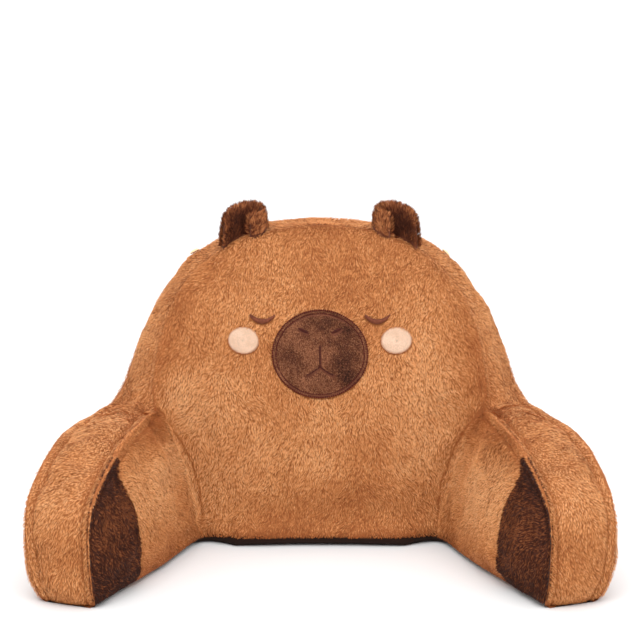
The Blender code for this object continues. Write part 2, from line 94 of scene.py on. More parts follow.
ARM_STEPS = 92  # sections from the arm's front to the junction
BACK_STEPS = 84  # sections from the junction to the middle of the top
FACE_STEPS = 56  # rows up a face, below those that follow its seam's edge
FACE_CROWDING = 1.3  # over 1: those rows lie closer together near the floor
TURN_UNDER = 0.012  # radius with which the cloth turns under at the floor
ARM_END_TURN = 0.006  # and at the arm's front and outer side
SEAT_TURN_FROM = 0.03  # the seat side turns under in its own way from this far below its seam
ARM_REACH = 0.6  # that much further in on the arm
FRONT_REACH_LOSS = 1.45  # and that much less again under the front
FRONT_SECTIONS = 10  # sections past the junction over which the front's own lower edge sets in
FRONT_OVERHANG = 0.034  # how far the backrest's front bulges over the floor at its lower edge
FRONT_CLEARANCE = 0.0120  # and how high it rises from the floor on the way
FRONT_LIP = 0.04  # the share of that bulge which the cloth gives up again below that height
OVERHANG_FADE = 0.032  # the height over which the bulge fades upwards
FRONT_RECESS = 0.004  # how much further in it meets the floor, from the backrest to this many sections up the arm
RECESS_FADE = 24
SEAM_TURN = 8  # rows on each side of a seam over which the way in turns from one face to the other
VALLEY_WIDTH = 9  # sections on each side of the junction over which seat and arm run into each other
VALLEY_ROUNDS = 34
VALLEY_ROWS = 12  # rows below the seam over which that sets in
STRIP_STEPS = 14
BASE_STEPS = 8
# Rows that follow a seam: their distances from it, and the most that each may be, as a share of a short face.
EDGE_ROWS = (0.0016, 0.0036, 0.0058, 0.0080, 0.0095, 0.0110, 0.0132, 0.0160, 0.0200, 0.0255)
EDGE_SHARES = (0.06, 0.13, 0.20, 0.26, 0.32, 0.38, 0.44, 0.50, 0.56, 0.62)

SEAT, STRIP, BACK, BASE = range(4)
SIDES = (("left", -1), ("right", 1))

MUZZLE = {"x": 0.0, "z": 0.2375, "half_width": 0.0578, "half_height": 0.0514}
CHEEK = {"x": 0.0932, "z": 0.2530, "half_width": 0.0190, "half_height": 0.0157}
EYE = {"x": 0.0700, "z": 0.2830, "half_width": 0.0155, "sag": 0.0075, "half_height": 0.0030, "end_share": 0.35}
BUTTON = {"x": 0.1555, "y": 0.0980}
# (height, how far the paw patch reaches back along the arm from its seam)
PAW_REACH = [
    (0.000, 0.070), (0.006, 0.078), (0.034, 0.086), (0.056, 0.087), (0.076, 0.084), (0.096, 0.081),
    (0.107, 0.076), (0.116, 0.069), (0.123, 0.062), (0.129, 0.055), (0.134, 0.047), (0.139, 0.040),
    (0.145, 0.034), (0.150, 0.026), (0.155, 0.008), (0.157, 0.000),
]
PAW_INNER_X = 0.165  # the patch lies further out than this
# (height, X) of the line along which the arm's inner side is drawn in against the front, where the pile is shorter
# and darkened with painted shade
CREASE = [
    (0.0155, 0.1428), (0.0265, 0.1431), (0.0464, 0.1445), (0.0604, 0.1462), (0.0746, 0.1485),
    (0.0876, 0.1528), (0.1017, 0.1575), (0.1118, 0.1613), (0.1222, 0.1660), (0.1334, 0.1732),
    (0.1456, 0.1820), (0.1561, 0.1911), (0.1661, 0.1997),
]
# (X, Y, height of the ear there) along its foot, from the outer tip round to the inner one
EAR = [
    (0.1192, 0.0452, 0.0270), (0.1148, 0.0545, 0.0450), (0.1045, 0.0635, 0.0500), (0.0905, 0.0710, 0.0470),
    (0.0758, 0.0665, 0.0405), (0.0722, 0.0565, 0.0350), (0.0880, 0.0475, 0.0345),
]
EAR_FOOT_Z, EAR_SLOPE = 0.3572, 0.42  # the foot's height at its outer tip, and how it rises inwards

rng = np.random.default_rng(7)

# ---------------- numbers


def unit(vectors):
    """Each row made one long."""
    return vectors / np.maximum(np.linalg.norm(vectors, axis=-1, keepdims=True), 1e-9)


def dot(a, b):
    """The product of each row with its partner."""
    return (a * b).sum(axis=-1, keepdims=True)


def run_of(points):
    """How far each of these points is along the line through them."""
    return np.concatenate([[0], np.cumsum(np.linalg.norm(np.diff(points, axis=0), axis=1))])


def tree_of(points):
    """A tree that finds the nearest of these points."""
    tree = KDTree(len(points))
    for number, point in enumerate(points):
        tree.insert(point, number)
    tree.balance()
    return tree


def rising(values, start, width):
    """0 up to the start, 1 from this width past it, and straight between."""
    return np.clip((values - start) / width, 0, 1)


def falling(values, end, width):
    """1 up to this width before the end, 0 past it, and straight between."""
    return np.clip((end - values) / width, 0, 1)


def bell(values, width):
    """1 at zero, fading over this width on both sides."""
    return np.exp(-((values / width) ** 2))


def varied(count):
    """Random shares from 0.8 to 1.2."""
    return 0.8 + 0.4 * rng.random(count)


def lattice(cells, seed):
    """A number from 0 to 1 for each row of three whole numbers, always the same one."""
    c = cells.astype(np.int64)
    mixed = (c[:, 0] * 73856093) ^ (c[:, 1] * 19349663) ^ (c[:, 2] * 83492791) ^ (seed * 668265263)
    mixed = ((mixed ^ (mixed >> 13)) * 1274126177) & 0xFFFFFFFF
    mixed ^= mixed >> 15
    mixed = (mixed * 2246822519) & 0xFFFFFFFF
    mixed ^= mixed >> 16
    return (mixed & 0xFFFFFF) / float(0xFFFFFF)


def noise(points, size, seed):
    """Smooth noise from -1 to 1 at each point, which changes over this distance."""
    flat = np.asarray(points).reshape(-1, 3) / size
    base = np.floor(flat)
    part = flat - base
    part = part * part * (3 - 2 * part)
    total = np.zeros(len(flat))
    for corner in np.ndindex(2, 2, 2):
        share = np.ones(len(flat))
        for axis in range(3):
            share = share * (part[:, axis] if corner[axis] else 1 - part[:, axis])
        total += share * lattice(base + corner, seed)
    return (2 * total - 1).reshape(np.asarray(points).shape[:-1])


def smooth_curve(knots, values, at):
    """A smooth curve through values at the knots, read at the given places."""
    slopes = np.gradient(values, knots, axis=0)
    i = np.clip(np.searchsorted(knots, at, side="right") - 1, 0, len(knots) - 2)
    width = (knots[i + 1] - knots[i])[:, None]
    t = (at - knots[i])[:, None] / width
    return (
        values[i] * (1 + 2 * t) * (1 - t) ** 2
        + slopes[i] * width * t * (1 - t) ** 2
        + values[i + 1] * t * t * (3 - 2 * t)
        + slopes[i + 1] * width * t * t * (t - 1)
    )


# ---------------- the cover's grid


def half_sections():
    """The table read at each section of the right half: {column: one value for each section}."""
    rows = np.array(list(SECTIONS.values())) / 1e4
    knots = run_of((rows[:, 0:3] + rows[:, 3:6]) / 2)
    at_arm = np.linspace(0, knots[JUNCTION], ARM_STEPS + 1)
    at_back = np.linspace(knots[JUNCTION], knots[-1], BACK_STEPS + 1)[1:]
    under_floor = np.array([-1.0 if c.endswith("_z") else 1.0 for c in COLUMNS]) * rows[1]
    past_middle = np.array([-1.0 if c.endswith("_x") else 1.0 for c in COLUMNS]) * rows[-2]
    before, after = 2 * knots[0] - knots[1], 2 * knots[-1] - knots[-2]
    all_knots = np.array([before, *knots, after])
    all_rows = np.array([under_floor, *rows, past_middle])
    corner = JUNCTION + 1
    smooth = smooth_curve(all_knots, all_rows, np.concatenate([at_arm, at_back]))
    cornered = np.concatenate([smooth_curve(all_knots[: corner + 1], all_rows[: corner + 1], at_arm),
                               smooth_curve(all_knots[corner:], all_rows[corner:], at_back)])
    return {c: (cornered if c in SHARP_COLUMNS else smooth)[:, i] for i, c in enumerate(COLUMNS)}


def points_of(sections, name):
    """The points of one seam or foot: (section, xyz)."""
    x, y = sections[name + "_x"], sections[name + "_y"] + VALLEY_Y
    return np.stack([x, y, sections.get(name + "_z", np.zeros(len(x)))], axis=1)


def level_normals(points, cornered):
    """Level unit vectors to the right of the way the points run, with a break at the junction if cornered."""
    if cornered:
        arm, back = points[: ARM_STEPS + 1], points[ARM_STEPS:]
        ways = np.concatenate([np.gradient(arm, axis=0), np.gradient(back, axis=0)[1:]])
    else:
        ways = np.gradient(points, axis=0)
    return unit(np.stack([ways[:, 1], -ways[:, 0], np.zeros(len(ways))], axis=1))


def edge_dip(distance):
    """The dip beside a seam's proud edge: none on the edge, deepest at the stitches, then gone."""
    rise = (distance / GROOVE) ** GROOVE_RISE
    dip = np.where(distance < GROOVE, rise, np.exp(-(distance - GROOVE) / GROOVE_FADE))
    return dip + STITCH_DIP * bell(distance - GROOVE, STITCH_WIDTH)


def face_rows(foot, seam, normals, crown, flange):
    """Points from the foot up to the seam of each section, and their distances from the seam."""
    length = np.maximum(np.linalg.norm(seam - foot, axis=1), 1e-6)[:, None]
    near = np.minimum(np.array(EDGE_ROWS)[None, :] / length, [EDGE_SHARES])[:, ::-1]
    low = (1 - near[:, :1]) * np.linspace(0, 1, FACE_STEPS)[None, :] ** FACE_CROWDING
    v = np.concatenate([low, 1 - near[:, 1:], np.ones_like(length)], axis=1)
    straight = foot[:, None, :] + (seam - foot)[:, None, :] * v[:, :, None]
    groove = flange[:, None] * np.minimum(1, length / SHALLOW_BELOW)
    place, bluntness = SWELL_POWERS
    away = (1 - v) * length
    out = crown[:, None] * np.sin(math.pi * v**place) ** bluntness - groove * edge_dip(away)
    return straight + normals[:, None, :] * out[:, :, None], away


def strip_rows(inner, outer, crown, flange):
    """Points across the strip between its two seams, and their distances from the nearer one."""
    across = outer - inner
    width = np.linalg.norm(across, axis=1)[:, None]
    normals = unit(np.cross(across, np.gradient(inner + outer, axis=0)))
    edge = np.array(EDGE_ROWS)[None, :] / width
    middle = np.linspace(edge[:, -1], 1 - edge[:, -1], STRIP_STEPS + 2, axis=1)[:, 1:-1]
    w = np.concatenate([edge, middle, 1 - edge[:, ::-1]], axis=1)
    dip = edge_dip(w * width) + edge_dip((1 - w) * width)
    out = crown[:, None] * np.sin(math.pi * w) ** STRIP_POWER - flange[:, None] * dip
    points = inner[:, None, :] + across[:, None, :] * w[:, :, None] + normals[:, None, :] * out[:, :, None]
    return points, np.minimum(w, 1 - w) * width


def recess_share(section):
    """How far the recess under the seat side's lower edge is open at a section counted from the arm's front."""
    return np.clip(1 - (ARM_STEPS - section) / RECESS_FADE, 0, 1)


def cover_grid():
    """The whole cover as closed loops (section, row, xyz), each point's distance from its seam, each row's face."""
    s = half_sections()
    inner, outer = points_of(s, "in"), points_of(s, "out")
    foot_in, foot_out = points_of(s, "foot_in"), points_of(s, "foot_out")
    seat_normals = -level_normals((inner + foot_in)[:, :2], cornered=True)
    back_normals = level_normals((outer + foot_out)[:, :2], cornered=False)
    seat, seat_away = face_rows(foot_in, inner, seat_normals, s["seat"], s["flange"])
    back, back_away = face_rows(foot_out, outer, back_normals, s["back"], s["flange"])
    strip, strip_away = strip_rows(inner, outer, s["strip"], s["flange"])
    strip[0, :, 2] = 0
    in_seam, out_seam = seat.shape[1], seat.shape[1] + strip.shape[1]  # the first row past each seam
    section = np.arange(len(seat))

    # The backrest's front bulges over the floor.
    past_valley = rising(section, ARM_STEPS, FRONT_SECTIONS)[:, None]
    seat_z = seat[:, :, 2]
    lifted = 1 - FRONT_LIP * (1 - rising(seat_z, 0, FRONT_CLEARANCE)) ** 2
    overhang = FRONT_OVERHANG * past_valley * bell(seat_z, OVERHANG_FADE) * lifted
    seat = seat + seat_normals[:, None, :] * overhang[:, :, None]
    upper = np.concatenate([seat, strip, back[:, ::-1]], axis=1)

    # The cloth turns under at the floor, level and against its normals.
    ways = grid_normals(upper, closed_rows=False)
    if ways[ARM_STEPS // 2, in_seam + 10, 2] < 0:
        ways = -ways
    ways[:5] = ways[5]
    level = unit(ways * [1, 1, 0])
    crowns = [np.broadcast_to(s[face][:, None], part.shape[:2])
              for face, part in (("seat", seat), ("strip", strip), ("back", back))]
    crowns = np.concatenate(crowns, axis=1)
    arm_end = np.clip(1 - section / (0.5 * ARM_STEPS), 0, 1)[:, None] ** 0.5
    outer_side = np.ones(upper.shape[:2])
    outer_side[:, :in_seam] = np.clip(1 - seat_away / SEAT_TURN_FROM, 0, 1)
    turn = TURN_UNDER + (ARM_END_TURN - TURN_UNDER) * arm_end * outer_side
    low = np.clip(1 - upper[:, :, 2] / turn, 0, 1)
    reach = 1 + (ARM_REACH - FRONT_REACH_LOSS * past_valley) * (1 - outer_side)
    inward = reach * turn * (1 - np.sqrt(1 - low**2)) * np.clip(1.3 - crowns / 0.05, 0.3, 1)
    recessed = recess_share(section)[:, None] * (1 - outer_side)
    near_floor = np.clip(1 - upper[:, :, 2] / FRONT_CLEARANCE, 0, 1)
    inward = np.maximum(inward, FRONT_RECESS * recessed * near_floor**2)
    for seam in (in_seam, out_seam):
        past = np.linspace(0, 1, 2 * SEAM_TURN)[None, :, None]
        before, after = level[:, seam - SEAM_TURN, None], level[:, seam + SEAM_TURN - 1, None]
        level[:, seam - SEAM_TURN : seam + SEAM_TURN] = unit(before * (1 - past) + after * past)
    upper = upper - level * inward[:, :, None]

    # The base closes each loop; in the first one it follows the strip's edge on the floor.
    share = np.linspace(0, 1, BASE_STEPS + 2)[1:-1]
    base = upper[:, -1:] + (upper[:, :1] - upper[:, -1:]) * share[None, :, None]
    front_edge = upper[0, in_seam:out_seam]
    for axis in range(3):
        base[0, :, axis] = np.interp(1 - share, np.linspace(0, 1, len(front_edge)), front_edge[:, axis])
    right = np.concatenate([upper, base], axis=1)

    # Seat and arm run into each other at the valley.
    soft_rows = np.zeros(right.shape[1])
    soft_rows[:in_seam] = rising(np.arange(in_seam)[::-1], 0, VALLEY_ROWS)
    weight = 0.5 * bell(section - ARM_STEPS, VALLEY_WIDTH)[1:-1, None, None] * soft_rows[None, :, None]
    for _ in range(VALLEY_ROUNDS):
        right[1:-1] += weight * ((right[2:] + right[:-2]) / 2 - right[1:-1])
    away = np.concatenate([seat_away, strip_away, back_away[:, ::-1], np.ones(base.shape[:2])], axis=1)
    faces = np.repeat([SEAT, STRIP, BACK, BASE], [part.shape[1] for part in (seat, strip, back, base)])
    left = right[:-1] * np.array([-1, 1, 1])
    return np.concatenate([left, right[::-1]]), np.concatenate([away[:-1], away[::-1]]), faces


def grid_normals(grid, closed_rows):
    """A unit normal at each point of a grid (section, row, xyz)."""
    if closed_rows:
        padded = np.concatenate([grid[:, -1:], grid, grid[:, :1]], axis=1)
        up = (padded[:, 2:] - padded[:, :-2]) / 2
    else:
        up = np.gradient(grid, axis=1)
    return unit(np.cross(np.gradient(grid, axis=0), up))


def sheet_normals(grid, ways):
    """A sheet's normals, on the side that the ways point to."""
    made = grid_normals(grid, closed_rows=False)
    return np.where(dot(made, ways) < 0, -made, made)


def cover_normals(grid):
    """The cover's normals, which point outwards."""
    made = grid_normals(grid, closed_rows=True)
    return -made if made[len(grid) // 2, FACE_STEPS + 20, 2] < 0 else made


def softened(values, times):
    """A grid of values, averaged with its neighbours this many times, its rows closed."""
    for _ in range(times):
        padded = np.pad(values, ((1, 1), (0, 0)), mode="edge")
        along = (padded[2:] + padded[:-2]) / 2
        around = (np.roll(values, 1, axis=1) + np.roll(values, -1, axis=1)) / 2
        values = 0.5 * values + 0.25 * along + 0.25 * around
    return values


# ---------------- meshes


def quads_of(sections, rows, closed_rows):
    """The faces of a grid of points, as rows of four point numbers."""
    i, j = np.meshgrid(np.arange(sections - 1), np.arange(rows if closed_rows else rows - 1), indexing="ij")
    i, j = i.ravel(), j.ravel()
    k = (j + 1) % rows
    return np.stack([i * rows + j, (i + 1) * rows + j, (i + 1) * rows + k, i * rows + k], axis=1)


def facing_along(points, faces, ways):
    """The same faces, turned over if they face against the ways at their first points."""
    cross = np.cross(points[faces[:, 2]] - points[faces[:, 0]], points[faces[:, 3]] - points[faces[:, 1]])
    return faces[:, ::-1] if (cross * ways[faces[:, 0]]).sum() < 0 else faces


def add_object(name, data):
    """A new object in the scene."""
    made = bpy.data.objects.new(name, data)
    bpy.context.scene.collection.objects.link(made)
    return made


def add_piece(name, mesh, finish):
    """A shown piece that rides on the pillow and takes the named finish in a material slot."""
    piece = add_object(name, mesh)
    mesh.shade_smooth()
    mesh.materials.append(finishes[finish])
    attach(piece, "root")
    return piece


def mesh_of(name, points, faces, merge=0.0, weld=0.0):
    """A mesh from points and faces. Points this near become one: merge is for closed forms, weld for sheets."""
    mesh = bpy.data.meshes.new(name)
    mesh.from_pydata(np.asarray(points).reshape(-1, 3).tolist(), [], np.asarray(faces).tolist())
    near = merge or weld
    if near:
        bm = bmesh.new()
        bm.from_mesh(mesh)
        bmesh.ops.remove_doubles(bm, verts=bm.verts, dist=near)
        bmesh.ops.dissolve_degenerate(bm, dist=near, edges=bm.edges)
        if merge:
            bmesh.ops.recalc_face_normals(bm, faces=bm.faces)
        bm.to_mesh(mesh)
        bm.free()
    return mesh


# ---------------- finishes


def srgb(r, g, b):
    """A colour given as the 0 to 255 of a picture."""
    return tuple(((c / 255 + 0.055) / 1.055) ** 2.4 if c > 10 else c / 255 / 12.92 for c in (r, g, b))


def principled(name, roughness, sheen=0.0, sheen_roughness=0.5, specular=0.5):
    """A material with these constants, its node tree and its shader."""
    made = bpy.data.materials.new(name)
    made.use_nodes = True
    shader = made.node_tree.nodes["Principled BSDF"]
    shader.inputs["Roughness"].default_value = roughness
    shader.inputs["Sheen Weight"].default_value = sheen
    shader.inputs["Sheen Roughness"].default_value = sheen_roughness
    shader.inputs["Specular IOR Level"].default_value = specular
    return made, made.node_tree, shader


def attribute(tree, name):
    """The socket that gives a mesh attribute's value."""
    node = tree.nodes.new("ShaderNodeAttribute")
    node.attribute_name = name
    return node.outputs["Fac"]


def ramp(tree, value, stops):
    """The socket that gives a value's colour on a ramp with these (place, colour) stops."""
    node = tree.nodes.new("ShaderNodeValToRGB")
    elements = node.color_ramp.elements
    while len(elements) < len(stops):
        elements.new(0.5)
    for element, (place, colour) in zip(elements, stops):
        element.position = place
        element.color = (*colour, 1.0)
    tree.links.new(value, node.inputs["Fac"])
    return node.outputs["Color"]


def mixed(tree, blend, first):
    """A node that mixes colours in this way, with the first one linked: 0 is its share, 7 the second, 2 the mix."""
    node = tree.nodes.new("ShaderNodeMix")
    node.data_type, node.blend_type = "RGBA", blend
    tree.links.new(first, node.inputs[6])
    return node


def pile_finish(name, root_shade, sheen, stops):
    """Strands of pile: their colour from each one's tone, and darker towards the root with painted shade."""
    stops = [(place, srgb(*rgb)) for place, *rgb in stops]
    made, tree, shader = principled(name, 0.75, sheen=sheen, sheen_roughness=0.45, specular=0.2)
    shader.inputs["Sheen Tint"].default_value = (*stops[-1][1], 1.0)
    shades = [(0.0, (root_shade,) * 3), (0.5, (0.9,) * 3), (1.0, (1.0,) * 3)]
    shaded = mixed(tree, "MULTIPLY", ramp(tree, attribute(tree, "tone"), stops))
    shaded.inputs[0].default_value = 1.0
    tree.links.new(ramp(tree, attribute(tree, "along"), shades), shaded.inputs[7])
    tree.links.new(shaded.outputs[2], shader.inputs["Base Color"])
    return made


def noise_node(tree, vector, scale, detail):
    """The socket that gives noise of this scale."""
    node = tree.nodes.new("ShaderNodeTexNoise")
    node.inputs["Scale"].default_value = scale
    node.inputs["Detail"].default_value = detail
    tree.links.new(vector, node.inputs["Vector"])
    return node.outputs["Fac"]


def mottled_finish(name, dark, light, scale, roughness, sheen, bump):
    """Cloth or thread: mottled between two colours, with a fine relief."""
    made, tree, shader = principled(name, roughness, sheen=sheen, specular=0.2)
    place = tree.nodes.new("ShaderNodeTexCoord").outputs["Object"]
    colour = ramp(tree, noise_node(tree, place, scale, 4.0), [(0.3, srgb(*dark)), (0.7, srgb(*light))])
    tree.links.new(colour, shader.inputs["Base Color"])
    relief = tree.nodes.new("ShaderNodeBump")
    relief.inputs["Strength"].default_value = bump
    relief.inputs["Distance"].default_value = 0.0006
    tree.links.new(noise_node(tree, place, 700.0, 2.0), relief.inputs["Height"])
    tree.links.new(relief.outputs["Normal"], shader.inputs["Normal"])
    return made


# ---------------- pile


def scatter(grid, per_m2):
    """Random places on a grid of points, as (section, row, share of a section, share of a row).

    per_m2 has the density at each cell of the grid.
    """
    across = grid[1:, 1:] - grid[:-1, :-1]
    other = grid[1:, :-1] - grid[:-1, 1:]
    wanted = np.linalg.norm(np.cross(across, other), axis=-1) / 2 * per_m2
    running = np.cumsum(wanted.ravel())
    count = int(running[-1])
    picks = (np.arange(count) + rng.random(count)) / count * running[-1]
    cell = np.minimum(np.searchsorted(running, picks), wanted.size - 1)
    i, j = np.divmod(cell, wanted.shape[1])
    return i, j, rng.random(count), rng.random(count)


def read_grid(values, places):
    """A grid's values at scattered places, blended from the four corners round each."""
    i, j, a, b = places
    if values.ndim == 3:
        a, b = a[:, None], b[:, None]
    low = values[i, j] * (1 - a) + values[i + 1, j] * a
    high = values[i, j + 1] * (1 - a) + values[i + 1, j + 1] * a
    return low * (1 - b) + high * b


def turned(ways, normals, angle):
    """Tangent unit vectors turned about the normals."""
    return ways * np.cos(angle)[:, None] + np.cross(normals, ways) * np.sin(angle)[:, None]


def napped(points, normals, pull, wander, share=1.0):
    """Which way the pile lies: along a pull on the surface, wandering over several distances."""
    way = unit(pull - normals * dot(normals, pull) + 1e-6)
    angle = np.zeros(len(points))
    for size, amount, seed in wander:
        angle += amount * noise(points, size, seed)
    return turned(way, normals, share * angle)


CLUMP_SHADE = 0.16  # painted shade: how much darker strands grow towards the edge of their clump, where the clumps part
ROOT_DEPTH = 0.0004  # strands start this far under the cloth
SIDE_SHADE, TIP_SHADE = 0.30, 0.35  # how far a strand's shading turns to its sides and to its tip


def add_pile(name, finish, strands, clump=0.0, per_m2=0, clump_size=0.0032, soft=0.5):
    """Strands of pile as one mesh. Each is a kite of two triangles, bent over along the nap.

    strands is (roots, normals, nap, length, width, lean, droop, tone), where lean and droop are the angles over the
    cloth of a strand's lower and upper half. soft is how far a strand is shaded as the cloth under it, from 0 to 1.
    """
    roots, normals, nap, length, width, lean, droop, tone = strands
    count = len(roots)
    side = turned(np.cross(normals, nap), normals, rng.normal(0, 0.25, count))
    side = unit(side + normals * rng.normal(0, 0.35, count)[:, None])
    half = (length / 2)[:, None]
    middle = roots + half * (np.cos(lean)[:, None] * nap + np.sin(lean)[:, None] * normals)
    tip = middle + half * (np.cos(droop)[:, None] * nap + np.sin(droop)[:, None] * normals)
    if clump:
        heads = tip[rng.random(count) * per_m2 * clump_size**2 < 1]
        tree = tree_of(heads)
        gather = heads[[tree.find(at)[1] for at in tip]] - tip
        gather -= normals * dot(normals, gather)
        middle += 0.4 * clump * gather
        tip += clump * gather
        apart = np.linalg.norm(gather, axis=1) / clump_size
        # painted shade towards the clump's edge
        tone = np.clip(tone + CLUMP_SHADE * (0.12 - np.minimum(apart, 0.8) ** 2), 0, 1)
    wide = (width / 2)[:, None] * side
    points = np.stack([roots - normals * ROOT_DEPTH, middle - wide, middle + wide, tip], axis=1)
    points[:, :, 2] = np.maximum(points[:, :, 2], 0.0002)
    facing = unit(np.cross(side, tip - roots))
    facing *= np.sign(dot(facing, normals))
    base = soft * normals + (1 - soft) * facing
    shading = [base, base - SIDE_SHADE * side, base + SIDE_SHADE * side, base + TIP_SHADE * nap]
    index = np.arange(count)[:, None] * 4
    triangles = np.stack([index + [0, 1, 2], index + [2, 1, 3]], axis=1)
    mesh = bpy.data.meshes.new(name)
    mesh.vertices.add(count * 4)
    mesh.vertices.foreach_set("co", points.astype(np.float32).ravel())
    mesh.loops.add(count * 6)
    mesh.loops.foreach_set("vertex_index", triangles.astype(np.int32).ravel())
    mesh.polygons.add(count * 2)
    mesh.polygons.foreach_set("loop_start", np.arange(0, count * 6, 3, dtype=np.int32))
    mesh.update(calc_edges=True)
    for key, values in (("tone", np.repeat(tone, 4)), ("along", np.tile([0.0, 0.5, 0.5, 1.0], count))):
        layer = mesh.attributes.new(key, "FLOAT", "POINT")
        layer.data.foreach_set("value", values.astype(np.float32))
    piece = add_piece(name, mesh, finish)
    mesh.normals_split_custom_set_from_vertices(unit(np.stack(shading, axis=1).reshape(-1, 3)))
    return piece


# ---------------- this pillow's finishes

# Pile: how light the painted shade between strands leaves it at the root, its sheen, and (tone, red, green, blue)
# from the darkest strands to the lightest.
PILES = {
    "tan_pile": (0.5, 0.10, [(0.0, 166, 92, 46), (0.35, 204, 130, 75), (0.7, 226, 155, 97), (1.0, 244, 182, 126)]),
    "dark_pile": (0.5, 0.0, [(0.0, 46, 16, 4), (0.5, 86, 38, 14), (1.0, 146, 82, 44)]),
    "ear_pile": (0.5, 0.08, [(0.0, 56, 22, 9), (0.3, 98, 48, 25), (0.55, 142, 78, 45), (0.8, 190, 118, 70),
                             (1.0, 222, 152, 98)]),
    "muzzle_pile": (0.7, 0.03, [(0.0, 38, 14, 5), (0.5, 114, 63, 36), (1.0, 174, 114, 80)]),
    "felt_pile": (0.92, 0.05, [(0.0, 192, 164, 140), (1.0, 214, 189, 167)]),
}
# The rest: its two colours, the scale of the mottling between them, roughness, sheen and relief.
CLOTHS = {
    "tan_backing": ((140, 80, 42), (164, 98, 56), 40, 0.9, 0.0, 0.3),
    "dark_backing": ((52, 24, 13), (74, 36, 20), 40, 0.9, 0.1, 0.3),
    "ear_backing": ((78, 40, 24), (112, 62, 40), 40, 0.9, 0.1, 0.3),
    "muzzle_backing": ((92, 50, 34), (112, 64, 45), 60, 0.9, 0.1, 0.3),
    "felt_backing": ((216, 178, 150), (234, 198, 172), 90, 0.9, 0.1, 0.3),
    "border_thread": ((66, 16, 8), (92, 28, 16), 300, 0.6, 0.0, 0.3),
    "mark_thread": ((54, 16, 8), (76, 26, 14), 300, 0.6, 0.0, 0.3),
    "lid_thread": ((92, 42, 24), (122, 64, 40), 260, 0.55, 0.05, 0.3),
    "cheek_thread": ((176, 120, 86), (200, 146, 110), 300, 0.5, 0.1, 0.3),
    "button_gloss": ((236, 196, 150), (250, 218, 178), 120, 0.35, 0.1, 0.05),
}
# The near-black colour of the painted shadow under the front's lower edge.
PAINTED_SHADOW_COLOUR = (36, 18, 10)

finishes = {name: pile_finish(name, *row) for name, row in PILES.items()}
finishes.update((name, mottled_finish(name, *row)) for name, row in CLOTHS.items())

# The cover's finish turns to that colour where the mesh attribute under is 1: painted shadow.
cover_tree = finishes["tan_backing"].node_tree
cover_colour = cover_tree.nodes["Principled BSDF"].inputs["Base Color"]
shade = mixed(cover_tree, "MIX", cover_colour.links[0].from_socket)
shade.inputs[7].default_value = (*srgb(*PAINTED_SHADOW_COLOUR), 1.0)
cover_tree.links.new(attribute(cover_tree, "under"), shade.inputs[0])
cover_tree.links.new(shade.outputs[2], cover_colour)

# ---------------- the cover

grid, seam_away, row_face = cover_grid()
normals = cover_normals(grid)

CLOTH_EVERY = 3  # the trial cloth takes each third section and row of the cover
CLOTH_FRAMES = 20
CLOTH_PINNED = 0.009  # it is held within this distance of a seam
CLOTH_MOST = 0.0045  # the most that a fold may stand in or out


def between(values, times, every):
    """A coarse grid's values read at each point of the fine grid that it was picked from."""
    for axis, (fine, picked) in enumerate(zip(times, every)):
        places = np.interp(np.arange(fine), picked, np.arange(len(picked)))
        low = np.minimum(places.astype(int), len(picked) - 2)
        share = (places - low).reshape([-1, 1] if axis == 0 else [1, -1])
        values = np.take(values, low, axis) * (1 - share) + np.take(values, low + 1, axis) * share
    return values


def folds():
    """The folds that cloth simulation gives the filled cover, as how far each point moves along its normal."""
    picked = [np.unique(np.append(np.arange(0, count, CLOTH_EVERY), count - 1)) for count in grid.shape[:2]]
    coarse = grid[picked[0]][:, picked[1]]
    away = np.where(coarse[:, :, 2] < 0.004, 0, seam_away[picked[0]][:, picked[1]])
    away = np.where((row_face == BASE)[picked[1]][None, :], 0, away)
    mesh = mesh_of("trial_cloth", coarse, quads_of(*coarse.shape[:2], True), merge=0.0012)
    trial = add_object("trial_cloth", mesh)
    tree = tree_of([vertex.co for vertex in mesh.vertices])
    own = np.array([tree.find(Vector(p))[1] for p in coarse.reshape(-1, 3)])
    held = trial.vertex_groups.new(name="held")
    held.add([int(v) for v in np.unique(own[away.ravel() < CLOTH_PINNED])], 1.0, "REPLACE")
    cloth = trial.modifiers.new("cloth", "CLOTH")
    settings = cloth.settings
    settings.quality = 6
    settings.mass = 0.25
    settings.tension_stiffness = settings.compression_stiffness = 12
    settings.shear_stiffness = 4
    settings.bending_stiffness = 0.15
    settings.use_pressure = True
    settings.uniform_pressure_force = 4
    settings.shrink_min = -0.035
    settings.vertex_group_mass = "held"
    settings.effector_weights.gravity = 0
    cloth.collision_settings.use_collision = False
    cloth.point_cache.frame_start, cloth.point_cache.frame_end = 1, CLOTH_FRAMES
    for at in range(1, CLOTH_FRAMES + 1):
        bpy.context.scene.frame_set(at)
    posed = trial.evaluated_get(bpy.context.evaluated_depsgraph_get()).to_mesh()
    moved = np.array([v.co for v in posed.vertices])[own].reshape(coarse.shape)
    bpy.data.objects.remove(trial)
    bpy.context.scene.frame_set(1)
    out = dot(moved - coarse, normals[picked[0]][:, picked[1]])[:, :, 0]
    out = softened(out, 1) - softened(out, 14)
    return between(CLOTH_MOST * np.tanh(out / CLOTH_MOST), grid.shape[:2], picked)


relief = 0.0012 * noise(grid, 0.055, 21) + 0.0006 * noise(grid, 0.022, 22)
relief = relief + folds()
grid = grid + normals * (relief * rising(grid[:, :, 2], 0, 0.02))[:, :, None]
grid[:, :, 2] = np.maximum(grid[:, :, 2], 0.0)
normals = cover_normals(grid)
